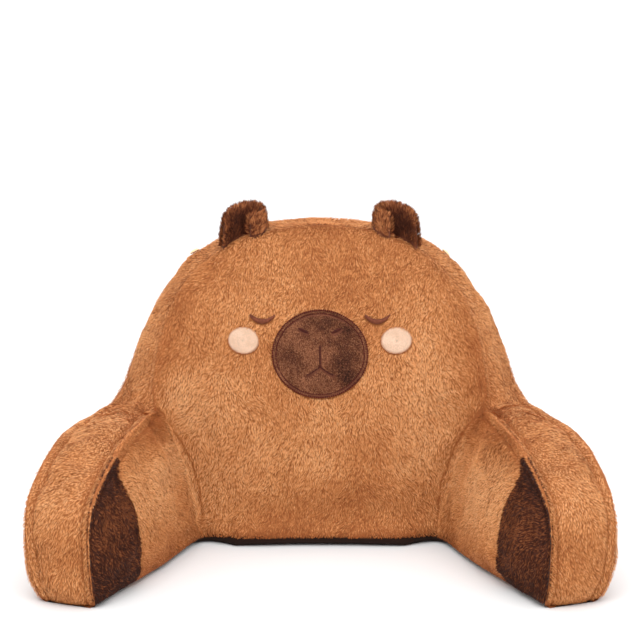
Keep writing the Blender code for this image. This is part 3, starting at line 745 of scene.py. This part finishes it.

# Under the front's lower edge, and no further out or back than this, the cover is painted near-black: a painted
# shadow of the recess under the lip.
PAINTED_SHADOW_ZONE = {"top": 0.0145, "top_fade": 0.0015, "half_width": 0.215, "side_fade": 0.03, "back": 0.10}
sections, rows = grid.shape[:2]
cover_mesh = mesh_of("cover", grid, quads_of(sections, rows, True), merge=1e-5)
cover = add_piece("cover", cover_mesh, "tan_backing")
cloth_x, cloth_y, cloth_z = np.array([vertex.co for vertex in cover_mesh.vertices]).T
painted_shadow = falling(cloth_z, PAINTED_SHADOW_ZONE["top"], PAINTED_SHADOW_ZONE["top_fade"])
painted_shadow *= falling(np.abs(cloth_x), PAINTED_SHADOW_ZONE["half_width"], PAINTED_SHADOW_ZONE["side_fade"])
painted_shadow *= cloth_y < PAINTED_SHADOW_ZONE["back"]
cover_mesh.attributes.new("under", "FLOAT", "POINT").data.foreach_set("value", painted_shadow.astype(np.float32))
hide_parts("body")

bm = bmesh.new()
bm.from_mesh(cover.data)
surface = BVHTree.FromBMesh(bm)
bm.free()

# ---------------- the cover's pile


def in_oval(points, place, side):
    """Whether each point of the front lies within this oval."""
    x = (points[:, 0] - side * place["x"]) / place["half_width"]
    z = (points[:, 2] - place["z"]) / place["half_height"]
    return x * x + z * z < 1


def lid_shape(u):
    """The height of an eyelid's middle and half its thickness, at places from -1 to 1 along it."""
    thick = EYE["half_height"] * (EYE["end_share"] + (1 - EYE["end_share"]) * np.sqrt(1 - u * u))
    return EYE["z"] - EYE["sag"] * (1 - u * u), thick


def in_lid(points, side):
    """Whether each point of the front lies within an eyelid's stitches."""
    u = (points[:, 0] - side * EYE["x"]) / EYE["half_width"]
    middle, thick = lid_shape(np.clip(u, -1, 1))
    return (np.abs(u) < 1) & (np.abs(points[:, 2] - middle) < thick)


arm_seam = points_of(half_sections(), "in")[: ARM_STEPS // 2]


def in_paw(points, grow):
    """Whether each point of an arm's inner side lies on the paw patch, grown by a distance."""
    reach = np.interp(points[:, 2], *np.array(PAW_REACH).T)
    edge = np.interp(points[:, 2], arm_seam[:, 2], arm_seam[:, 1])
    return (np.abs(points[:, 0]) > PAW_INNER_X) & (points[:, 1] < edge + reach + grow) & (reach > 0.001)


DENSITY = {SEAT: 800e3, STRIP: 640e3, BACK: 280e3, BASE: 0}  # strands for each square metre
WANDER = [(0.090, 0.7, 31), (0.035, 0.8, 32), (0.014, 0.7, 34), (0.0065, 0.6, 33)]  # (size, angle, seed)
PILE_LENGTH, PILE_WIDTH = 0.0054, 0.00072

closed_grid, closed_normals, closed_away = [np.concatenate([a, a[:, :1]], axis=1) for a in (grid, normals, seam_away)]
density = np.array([min(DENSITY[f], DENSITY[g]) for f, g in zip(row_face, np.roll(row_face, -1))])
density = np.broadcast_to(density, (sections - 1, rows))
places = scatter(closed_grid, density)
roots, facing, away = [read_grid(values, places) for values in (closed_grid, closed_normals, closed_away)]
facing = unit(facing)
face_of = row_face[places[1] % rows]

# No pile grows close to the floor, or under what is sewn on the front.
on_seat = face_of == SEAT
section_at = places[0] + places[2]
from_arm_front = np.minimum(section_at, sections - 1 - section_at)
front_share = rising(from_arm_front, ARM_STEPS, FRONT_SECTIONS)
lowest = np.where(on_seat, 0.0045 + 0.0055 * recess_share(from_arm_front) + 0.0030 * front_share, 0.0030)
kept = (roots[:, 2] > lowest) & ~((roots[:, 2] < 0.009) & (away < 0.004))
kept &= ~(on_seat & in_oval(roots, MUZZLE, 1))
for _, side in SIDES:
    kept &= ~(on_seat & (in_oval(roots, CHEEK, side) | in_lid(roots, side)))
to_arm_front = unit(np.gradient(closed_grid, axis=0))
to_arm_front *= np.where(np.arange(sections) < sections / 2, -1, 1)[:, None, None]
to_arm_front = read_grid(to_arm_front, [part[kept] for part in places])
roots, facing, away, face_of, lowest = [part[kept] for part in (roots, facing, away, face_of, lowest)]

count = len(roots)
x, y, z = roots.T
from_middle = np.abs(x)
upward = np.clip(facing[:, 2], 0, 1)
seat, strip = face_of == SEAT, face_of == STRIP
is_paw = seat & in_paw(roots, 0.0) & (away > 0.0005)
on_arm = rising(from_middle, 0.14, 0.04) * seat
front = seat * (1 - on_arm)
over_top = bell(away, 0.007) * strip * (z > 0.28) * (y < 0.14)  # beside the seam over the backrest's top
flat_top = upward * strip * falling(z, 0.30, 0.05)  # on top of the arms
stitch = bell(away - GROOVE, 0.0019) * falling(z, 0.27, 0.08)
on_edge = bell(away, 0.003) * falling(z, 0.30, 0.06)
low_edge = falling(z, lowest + 0.010, 0.010)  # the lowest pile

# Which way it lies: down, and outwards or back where the face turns up; on the strip, towards the arm's front.
outward = np.clip(x / 0.05, -1, 1) * upward * ~seat
pull = np.stack([0.55 * outward, 0.30 + 0.60 * on_arm, np.full(count, -1.0)], axis=1)
along_strip = to_arm_front * rising(np.abs(roots[:, :1]), 0, 0.02)
to_side = 0.3 * np.clip(roots[:, :1] / 0.03, -1, 1) * [1, 0, 0]
pull = np.where(strip[:, None], along_strip + [0, 0.45, 0] + to_side, pull)
pull -= over_top[:, None] * [0, 1.6, 0.3]
nap = napped(roots, facing, pull, WANDER, np.where(seat, 0.85, 0.55))

# The crease: a line of short pile darkened with painted shade, with soft painted shade round it.
crease_z, crease_x = np.array(CREASE).T
slope = np.interp(z, crease_z, np.gradient(crease_x, crease_z))
from_crease = (from_middle - np.interp(z, crease_z, crease_x)) / np.hypot(1, slope)
near_crease = seat * falling(z, crease_z[-1] + 0.004, 0.004)
crease = bell(from_crease, 0.0015) * near_crease * rising(z, 0.020, 0.03)
crease_shade = bell(from_crease, 0.017) * near_crease

length = PILE_LENGTH * varied(count) * (1 - 0.50 * stitch) * (1 - 0.2 * crease) * (1 - 0.4 * on_edge)
length *= 1 - 0.45 * low_edge
lean = 32 - 10 * on_edge - 18 * over_top - 14 * flat_top + 9 * noise(roots, 0.007, 41)
lean = np.radians(lean + 6 * rng.normal(0, 1, count))
droop = np.radians(9 - 12 * over_top + 9 * noise(roots, 0.011, 42) + 7 * rng.normal(0, 1, count))
width = PILE_WIDTH * varied(count)

# Its tone, from 0 to 1: patches of three sizes and single strands, then what is darker (-) or lighter (+).
tone = 0.54 + 0.20 * noise(roots, 0.060, 51) + 0.10 * noise(roots, 0.019, 52) + 0.06 * noise(roots, 0.0055, 53)
# Painted shade in the strip's stitch groove, strongest low on the arm.
strip_stitch_shade = 0.35 * np.maximum(falling(z, 0.17, 0.06), 0.3)
# Painted shade: dark lines in the stitches' grooves and along the crease.
tone += 0.20 * rng.normal(0, 1, count) - np.where(seat, 0.75, strip_stitch_shade) * stitch - 0.55 * crease
# painted shade round the crease, and on the lowest pile near the floor
tone -= 0.36 * crease_shade * rising(z, 0.06, 0.08) + 0.35 * low_edge
tone -= 0.42 * on_arm * bell(away, 0.035) * rising(z, 0.07, 0.06)  # painted shade on the arm's inner side under its seam
# painted light on top of the arms, where the pile faces up
tone += 0.22 * flat_top
tone -= 0.42 * np.clip(1 - z / 0.10, 0, 1) * front  # painted shade on the front near the floor
tone += on_arm * (0.72 * rising(z, 0, 0.09) - 0.50)  # painted shade on the arm's inner side, darkest near the floor and lighter upwards
tone -= 0.15 * rising(z, 0.26, 0.08) * seat  # painted shade on the front near its top
tone += 0.20 * rising(from_middle, 0.05, 0.08) * front * falling(z, 0.27, 0.06)  # beside the face
tone -= 0.06 * upward**2 * strip * rising(z, 0.30, 0.05)  # painted shade over the top, where it faces up
tone = np.clip(tone, 0, 1)


def strands_of(mine):
    """What add_pile takes of these strands."""
    return [part[mine] for part in (roots, facing, nap, length, width, lean, droop, tone)]


for label, face in (("seat", SEAT), ("strip", STRIP), ("back", BACK)):
    for name, side in SIDES:
        mine = (face_of == face) & ~is_paw & ((x < 0) == (side < 0))
        add_pile(f"pile_{label}_{name}", "tan_pile", strands_of(mine), clump=0.2, per_m2=DENSITY[face])
# The paws take the same tone with more contrast, its painted shade and light included.
tone = 0.46 + 0.28 * noise(roots, 0.034, 54) + 0.36 * rng.normal(0, 1, count) + 1.2 * (tone - 0.60)
tone = np.clip(tone, 0, 1)
paw_piles = [add_pile("pile_paw_" + name, "dark_pile", strands_of(is_paw & (np.sign(x) == side)),
                      clump=0.35, per_m2=DENSITY[SEAT]) for name, side in SIDES]

# ---------------- what is sewn on the cover


def cast(starts, way):
    """Where rays from these places, all one way, first meet the cover, and the cover's normals there.

    A ray that misses takes the place on the cover nearest to a point 0.1 m along it.
    """
    hits = [surface.ray_cast(Vector(start), Vector(way)) for start in starts.reshape(-1, 3)]
    for number, start in enumerate(starts.reshape(-1, 3)):
        if hits[number][0] is None:
            hits[number] = surface.find_nearest(Vector(start) + 0.1 * Vector(way))
    return [np.array([hit[k] for hit in hits]).reshape(starts.shape) for k in (0, 1)]


def on_front(x, z, height):
    """Points this high over the front of the cover, at X and Z, and the cover's normals there."""
    starts = np.stack([x, np.full_like(x, VALLEY_Y - 0.12), z], axis=-1)
    points, ways = cast(starts, (0, 1, 0))
    return points + ways * np.broadcast_to(height, x.shape)[..., None], ways


def add_sheet(name, grid, ways, finish):
    """A sheet over a grid of points (row, column, xyz) that faces along the given normals."""
    faces = facing_along(grid.reshape(-1, 3), quads_of(*grid.shape[:2], False), ways.reshape(-1, 3))
    return add_piece(name, mesh_of(name, grid, faces, weld=1e-6), finish)


def oval_line(place, side, share, steps=240):
    """X and Z round an oval at this share of its radius, or at each of a column of shares."""
    turns = np.linspace(0, 2 * math.pi, steps + 1)
    x = side * place["x"] + place["half_width"] * share * np.cos(turns)
    return x, place["z"] + place["half_height"] * share * np.sin(turns)


def oval_sheet(place, side, profile, spokes):
    """Points (ring, spoke, xyz) over an oval on the front, raised by a profile of (share of radius, height)."""
    shares, heights = np.array(profile).T[:, :, None]
    return on_front(*oval_line(place, side, shares, spokes), heights)


def add_threads(name, starts, ends, ways, radius, rise, finish):
    """Stitches of thread from start to end, each a tapered tube that arches up by a rise."""
    t = np.array([0.0, 0.14, 0.36, 0.64, 0.86, 1.0])
    fat = np.array([0.35, 0.8, 1.0, 1.0, 0.8, 0.35])
    arch = rise * np.sin(math.pi * t) ** 0.6
    across = unit(np.cross(unit(ends - starts), ways))
    up = np.cross(across, unit(ends - starts))
    centre = starts[:, None, :] + (ends - starts)[:, None, :] * t[None, :, None]
    centre = centre + up[:, None, :] * arch[None, :, None]
    turns = np.arange(6) * math.pi / 3
    ring = np.cos(turns)[:, None] * across[:, None, None, :]
    ring = ring + 0.8 * np.sin(turns)[:, None] * up[:, None, None, :]
    points = centre[:, :, None, :] + ring * (radius * fat)[None, :, None, None]
    quads = [(k * 6 + j, k * 6 + (j + 1) % 6, k * 6 + 6 + (j + 1) % 6, k * 6 + 6 + j)
             for k in range(5) for j in range(6)]
    caps = [(0, 3, 2, 1), (0, 5, 4, 3), (30, 31, 32, 33), (30, 33, 34, 35)]
    faces = (np.arange(len(starts))[:, None, None] * 36 + np.array(quads + caps)[None]).reshape(-1, 4)
    return add_piece(name, mesh_of(name, points, faces), finish)


def add_line(name, line, height, step, radius, rise, finish):
    """Stitches along a line of X and Z on the front, one for each step of its length, with small gaps between."""
    dense = np.concatenate([[0], np.cumsum(np.hypot(*[np.diff(part) for part in line]))])
    marks = np.linspace(0, dense[-1], max(1, int(round(dense[-1] / step))) + 1)
    ends = [on_front(*[np.interp(at, dense, part) for part in line], height)
            for at in (marks[:-1], marks[:-1] + 0.9 * np.diff(marks))]
    return add_threads(name, ends[0][0], ends[1][0], ends[1][1], radius, rise, finish)


SHORT_DENSITY = 2.0e6


def add_short_pile(name, grid, ways, finish, length, width, lean, tones, pull, bare=(), brushed=()):
    """Short pile over a sheet's grid. tones is (middle, [(size, amount, seed)...], spread).

    None grows near the points of bare, which are (x, z, distance). Round the points of brushed, which are
    (x, z, distance, tone), it is painted darker or lighter: painted sheen and light, as where it is brushed the other
    way.
    """
    spots = scatter(grid, SHORT_DENSITY)
    at, up = read_grid(grid, spots), unit(read_grid(sheet_normals(grid, ways), spots))
    free = np.ones(len(at), bool)
    for x, z, reach in bare:
        free &= (at[:, 0] - x) ** 2 + (at[:, 2] - z) ** 2 > reach**2
    at, up = at[free], up[free]
    middle, waves, spread = tones
    tone = np.full(len(at), middle)
    for size, amount, seed in waves:
        tone += amount * noise(at, size, seed)
    for x, z, reach, amount in brushed:
        tone += amount * np.exp(-((at[:, 0] - x) ** 2 + (at[:, 2] - z) ** 2) / reach**2)
    tone += spread * rng.normal(0, 1, len(at))
    lie = napped(at, up, np.tile(pull, (len(at), 1)), [(0.02, 0.9, 61), (0.006, 0.9, 62)])
    tall = length * varied(len(at))
    wide = width * varied(len(at))
    lean = np.radians(lean + 8 * rng.normal(0, 1, len(at)))
    return add_pile(name, finish, (at, up, lie, tall, wide, lean, 0.6 * lean, np.clip(tone, 0, 1)))


# The muzzle: a rim between two stitched lines, lighter with painted light, and a soft crown inside with patches of
# painted sheen.
MUZZLE_LINE = 0.928  # the inner line's share of the radius
MUZZLE_PROFILE = [(0.0, 0.0042), (0.15, 0.0042), (0.3, 0.0041), (0.45, 0.0039), (0.6, 0.0037), (0.72, 0.0035),
                  (0.80, 0.0033), (0.87, 0.0031), (0.907, 0.0026), (0.926, 0.0018), (0.940, 0.0021), (0.955, 0.0029),
                  (0.970, 0.0030), (0.984, 0.0024), (0.995, 0.0012), (1.0, -0.0008)]
# (x, z, distance, tone) of the muzzle's patches of painted sheen, darker or lighter where the pile is brushed the
# other way
MUZZLE_BRUSHED_SHEEN = [(0.028, 0.234, 0.014, -0.60), (0.032, 0.211, 0.011, -0.45), (0.004, 0.276, 0.016, -0.36),
                  (0.033, 0.266, 0.010, -0.34), (-0.031, 0.229, 0.015, -0.24), (-0.028, 0.206, 0.012, 0.18),
                  (0.006, 0.204, 0.012, 0.16)]
NOSTRIL = {"x": 0.0200, "z": 0.2650, "long": 0.0064, "thick": 0.0019, "slant": 0.42}
MOUTH = {"top": 0.2470, "fork": 0.2230, "low": 0.2130, "reach": 0.0165}
MARK_HEIGHT, MARK_STEP, MARK_RADIUS = 0.0045, 0.0022, 0.0010

muzzle_grid, muzzle_ways = oval_sheet(MUZZLE, 1, MUZZLE_PROFILE, 120)
muzzle = add_sheet("muzzle", muzzle_grid, muzzle_ways, "muzzle_backing")
inner_line = oval_line(MUZZLE, 1, MUZZLE_LINE)
muzzle_pieces = [
    add_line("muzzle_border", oval_line(MUZZLE, 1, 0.998), 0.0032, 0.0026, 0.0011, 0.0003, "border_thread"),
    add_line("muzzle_border_inner", inner_line, 0.0030, 0.0026, 0.00075, 0.0002, "border_thread"),
]
# The middle of the rim, where the pile is painted lighter: painted light.
rim = oval_line(MUZZLE, 1, (1 + MUZZLE_LINE) / 2, 90)
bare = [(x, z, 0.0012) for x, z in zip(*inner_line)]
for name, side in SIDES:
    u = np.linspace(-1, 1, 30)
    spine_x = side * (NOSTRIL["x"] + NOSTRIL["long"] * u)
    spine_z = NOSTRIL["z"] + NOSTRIL["slant"] * NOSTRIL["long"] * u
    half = NOSTRIL["thick"] * np.sqrt(np.maximum(0.05, 1 - u * u))
    low, ways = on_front(spine_x, spine_z - half, MARK_HEIGHT)
    high, _ = on_front(spine_x, spine_z + half, MARK_HEIGHT)
    muzzle_pieces.append(add_threads("nostril_" + name, low, high, ways, 0.0003, 0.0004, "mark_thread"))
    bare += zip(spine_x[::3], spine_z[::3], half[::3] + 0.0007)
quarter = np.sin(np.linspace(0, 1, 30) * math.pi / 2)
mouth = {name: (side * MOUTH["reach"] * quarter, MOUTH["low"] + (MOUTH["fork"] - MOUTH["low"]) * (1 - quarter) ** 1.3)
         for name, side in SIDES}
mouth["middle"] = (np.zeros(26), np.linspace(MOUTH["top"], MOUTH["fork"], 26))
for name, line in mouth.items():
    muzzle_pieces.append(add_line("mouth_" + name, line, MARK_HEIGHT, MARK_STEP, MARK_RADIUS, 0.0003, "mark_thread"))
    bare += [(x, z, 2 * MARK_RADIUS) for x, z in zip(*line)]
muzzle_pieces.append(
    add_short_pile("pile_muzzle", muzzle_grid[:-2], muzzle_ways[:-2], "muzzle_pile", 0.0024, 0.0006,
                   34, (0.54, [(0.030, 0.20, 76), (0.009, 0.26, 72)], 0.32), (0.15, 0.2, -1.0), bare,
                   MUZZLE_BRUSHED_SHEEN + [(x, z, 0.0022, 0.16) for x, z in zip(*rim)]))
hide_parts("muzzle_patch")

CHEEK_PROFILE = [(0.0, 0.0028), (0.3, 0.0028), (0.6, 0.0026), (0.8, 0.0024), (0.92, 0.0020), (0.98, 0.0012),
                 (1.0, -0.0006)]
for name, side in SIDES:
    cheek_grid, cheek_ways = oval_sheet(CHEEK, side, CHEEK_PROFILE, 60)
    cheek = add_sheet("cheek_cloth_" + name, cheek_grid, cheek_ways, "felt_backing")
    fuzz = add_short_pile("pile_cheek_" + name, cheek_grid[:-1], cheek_ways[:-1], "felt_pile",
                          0.0012, 0.0004, 22, (0.6, [(0.01, 0.12, 73)], 0.12), (0.1, 0.2, -1.0))
    border = add_line("cheek_border_" + name, oval_line(CHEEK, side, 0.97, 100), 0.0026, 0.0020, 0.00045, 0.0002,
                      "cheek_thread")
    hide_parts("cheek_" + name)

    u = np.linspace(-0.985, 0.985, 84)
    lid_x = side * EYE["x"] + EYE["half_width"] * u
    lid_z, half = lid_shape(u)
    low, ways = on_front(lid_x - 0.0006, lid_z - half, 0.0022)
    high, _ = on_front(lid_x + 0.0006, lid_z + half, 0.0022)
    lid = add_threads("lid_" + name, low, high, ways, 0.00027, 0.0011, "lid_thread")
    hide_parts("eye_" + name)

# The paw patches: the dark backing under their pile, from the same points as the cover.
for (name, side), paw_fur in zip(SIDES, paw_piles):
    arm_sections = np.arange(ARM_STEPS) if side < 0 else np.arange(sections - ARM_STEPS, sections)
    seat_rows = np.arange(FACE_STEPS + len(EDGE_ROWS) - 1)
    patch, ways = [a[arm_sections][:, seat_rows] for a in (grid, normals)]
    inside = in_paw(patch.reshape(-1, 3), 0.0005).reshape(patch.shape[:2])
    whole = inside[:-1, :-1] & inside[1:, :-1] & inside[:-1, 1:] & inside[1:, 1:]
    used, faces = np.unique(quads_of(*patch.shape[:2], False)[whole.ravel()], return_inverse=True)
    points = (patch + 0.0004 * ways).reshape(-1, 3)[used]
    points[:, 2] = np.maximum(points[:, 2], 0.0)
    faces = facing_along(points, faces.reshape(-1, 4), ways.reshape(-1, 3)[used])
    paw_mesh = mesh_of("paw_cloth_" + name, points, faces, weld=1e-5)
    paw = add_piece("paw_cloth_" + name, paw_mesh, "dark_backing")
    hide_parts("paw_patch_" + name)

# ---------------- ears

EAR_ACROSS = 72  # steps along the foot
EAR_UP = 36  # and from the foot to the rim
EAR_ENDS = (0.025, 0.975)  # the part of the foot's line that the ear stands on
EAR_LONG, EAR_HIGH = 0.105, 0.055  # about how long and high it is, for the pile's distance from its rim
EAR_DEPTH = 0.012  # how far it reaches into the cover
EAR_INSET = 0.0036  # the backing lies this far under the tips of the pile
EAR_DENSITY = 1.25e6
# Its side, thickness and slot, and the tone of its pile, how that changes at the rim, and over what distance.
# On the lining the change at the rim is painted: painted shade deep inside, painted light at the rim, over its own
# dark brown.
EAR_LAYERS = {
    "back": (1, 0.0100, "plush", 0.74, -0.12, 0.0150),
    "lining": (-1, 0.0095, "dark_plush", 0.10, 0.52, 0.0085),
}


def ear_sheets(side):
    """Points (step, row, xyz) of an ear's back and lining as backing, and the way each one faces."""
    table = np.array(EAR)
    knots = run_of(table[:, :2])
    along = np.linspace(*EAR_ENDS, EAR_ACROSS + 1)
    line = smooth_curve(knots, table, knots[-1] * along)
    foot = np.stack([side * line[:, 0], line[:, 1] + VALLEY_Y], axis=1)
    ways = np.gradient(foot, axis=0)
    backward = unit(np.stack([-ways[:, 1], ways[:, 0]], axis=1)) * -side
    foot_z = EAR_FOOT_Z + EAR_SLOPE * (line[0, 0] - line[:, 0])
    share = np.sin(np.linspace(0, math.pi / 2, EAR_UP + 1))
    z = foot_z[:, None] - EAR_DEPTH + (line[:, 2] - 0.0050 + EAR_DEPTH)[:, None] * share[None, :]
    round_off = [np.sqrt(np.maximum(0, 1 - part**2.4)) for part in (np.abs(2 * along - 1) / 0.95, share)]
    fullness = round_off[0][:, None] * round_off[1][None, :]
    sheets = {}
    for name, (sign, thick, *_) in EAR_LAYERS.items():
        offset = 0.0004 + (thick + 0.0008 - EAR_INSET) * fullness
        level = foot[:, None, :] + backward[:, None, :] * (sign * offset)[:, :, None]
        facing_way = np.concatenate([backward * sign, np.zeros((len(backward), 1))], axis=1)
        sheets[name] = (np.concatenate([level, z[:, :, None]], axis=2), facing_way)
    return sheets, along, share


for name, side in SIDES:
    sheets, along, share = ear_sheets(side)
    for layer, (layer_grid, layer_way) in sheets.items():
        _, _, slot, base, to_rim, rim_width = EAR_LAYERS[layer]
        ups = sheet_normals(layer_grid, layer_way[:, None, :] + [0, 0, 0.25])
        spots = scatter(layer_grid, EAR_DENSITY)
        at = read_grid(layer_grid, spots)
        near = [surface.find_nearest(Vector(p)) for p in at]
        over = np.array([(Vector(p) - n[0]).dot(n[1]) for p, n in zip(at, near)]) > 0.0025
        i, j, a, b = spots = [part[over] for part in spots]
        at, up = at[over], unit(read_grid(ups, spots))
        here = along[i] * (1 - a) + along[i + 1] * a
        high = share[j] * (1 - b) + share[j + 1] * b
        from_end = np.minimum(here - EAR_ENDS[0], EAR_ENDS[1] - here)
        rim = bell(np.minimum(from_end * EAR_LONG, (1 - high) * EAR_HIGH), rim_width)
        middle = layer_grid[EAR_ACROSS // 2, EAR_UP // 3]
        lie = napped(at, up, (at - middle) * [1, 1, 0.4] + [0, 0, 0.03], [(0.02, 0.5, 63), (0.006, 0.9, 64)])
        # on the lining, the rim term is painted light at the rim and painted shade deep in the ear
        tone = base + to_rim * rim + 0.10 * noise(at, 0.012, 74) + 0.10 * noise(at, 0.005, 75)
        tone += 0.16 * rng.normal(0, 1, len(at))
        tall = (0.0058 + 0.0016 * rim) * (0.75 + 0.5 * rng.random(len(at)))
        wide = 0.00075 * varied(len(at))
        lean = np.radians(40 + 14 * rim + 9 * rng.normal(0, 1, len(at)))
        add_pile(f"pile_ear_{layer}_{name}", "ear_pile",
                 (at, up, lie, tall, wide, lean, 0.55 * lean, np.clip(tone, 0, 1)),
                 clump=0.3, per_m2=EAR_DENSITY, clump_size=0.004, soft=0.3)
    shell = np.concatenate([sheets["back"][0], sheets["lining"][0][:, ::-1]], axis=1)
    edge = (shell + shell[:, ::-1]) / 2
    shell = np.concatenate([edge[:1], shell, edge[-1:]])
    ear_mesh = mesh_of("ear_cloth_" + name, shell, quads_of(*shell.shape[:2], True), merge=1e-5)
    ear = add_piece("ear_cloth_" + name, ear_mesh, "ear_backing")
    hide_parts("ear_" + name, "ear_" + name + "_lining")

# ---------------- buttons

# A domed button with a turned rim: (radius, height) from the middle of its foot to the middle of its dome.
BUTTON_PROFILE = [(0.0, 0.0), (0.0058, 0.0), (0.0066, 0.0003), (0.0067, 0.0008), (0.0066, 0.0013), (0.0062, 0.0016),
                  (0.0058, 0.0015), (0.0056, 0.0016), (0.0052, 0.0022), (0.0044, 0.0028), (0.0032, 0.0033),
                  (0.0017, 0.0036), (0.0, 0.0037)]
BUTTON_SIDES = 40
BUTTON_LIFT = 0.0030  # from the cover to the button's foot
turns = 2 * math.pi * np.arange(BUTTON_SIDES) / BUTTON_SIDES
radius, height = np.array(BUTTON_PROFILE).T[:, :, None]
lathe = np.stack([radius * np.cos(turns), radius * np.sin(turns), height + 0 * turns], axis=-1)
for name, side in SIDES:
    place, way = cast(np.array([[side * BUTTON["x"], BUTTON["y"] + VALLEY_Y, 1.0]]), (0, 0, -1))
    pose = Vector(way[0]).to_track_quat("Z", "Y").to_matrix()
    placed = lathe @ np.array(pose).T + place[0] + way[0] * BUTTON_LIFT
    button_mesh = mesh_of("button_cream_" + name, placed, quads_of(*placed.shape[:2], True), merge=1e-6)
    button = add_piece("button_cream_" + name, button_mesh, "button_gloss")
    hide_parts("button_" + name)

# ---------------- stage

camera = add_object("camera", bpy.data.cameras.new("camera"))
camera.location = (0.0, -2.4697, 0.7668)
camera.rotation_euler = (math.radians(79), 0, 0)
camera.data.lens = 118.125
camera.data.sensor_width = 36
bpy.context.scene.camera = camera

FLOOR_REACH = 90
corners = [(x * FLOOR_REACH, y * FLOOR_REACH, 0) for x, y in ((-1, -1), (1, -1), (1, 1), (-1, 1))]
floor = add_object("floor", mesh_of("floor", corners, [(0, 1, 2, 3)]))
floor_finish, _, floor_shader = principled("floor", 0.6, specular=0.2)
floor_shader.inputs["Base Color"].default_value = (0.85, 0.85, 0.85, 1)
floor.data.materials.append(floor_finish)

# The sky is grey at the horizon and white above.
world = bpy.data.worlds.new("studio")
bpy.context.scene.world = world
world.use_nodes = True
sky = world.node_tree
sky_way = sky.nodes.new("ShaderNodeTexCoord")
sky_height = sky.nodes.new("ShaderNodeSeparateXYZ")
sky.links.new(sky_way.outputs["Generated"], sky_height.inputs["Vector"])
sky_shade = ramp(sky, sky_height.outputs["Z"], [(0.0, (0.25,) * 3), (0.5, (1.0,) * 3)])
sky.links.new(sky_shade, sky.nodes["Background"].inputs["Color"])
sky.nodes["Background"].inputs["Strength"].default_value = 1.43


def area_light(name, place, target, size, power):
    """A soft square light that looks at a point."""
    light = add_object(name, bpy.data.lights.new(name, "AREA"))
    light.location = place
    light.rotation_euler = (Vector(target) - Vector(place)).to_track_quat("-Z", "Y").to_euler()
    light.data.size = size
    light.data.energy = power


area_light("key", (-0.9, -2.0, 3.0), (0, 0, 0.15), 1.6, 36)
area_light("fill", (1.1, -2.1, 2.7), (0, 0, 0.15), 2.0, 30)

bpy.context.scene.view_settings.view_transform = "Standard"
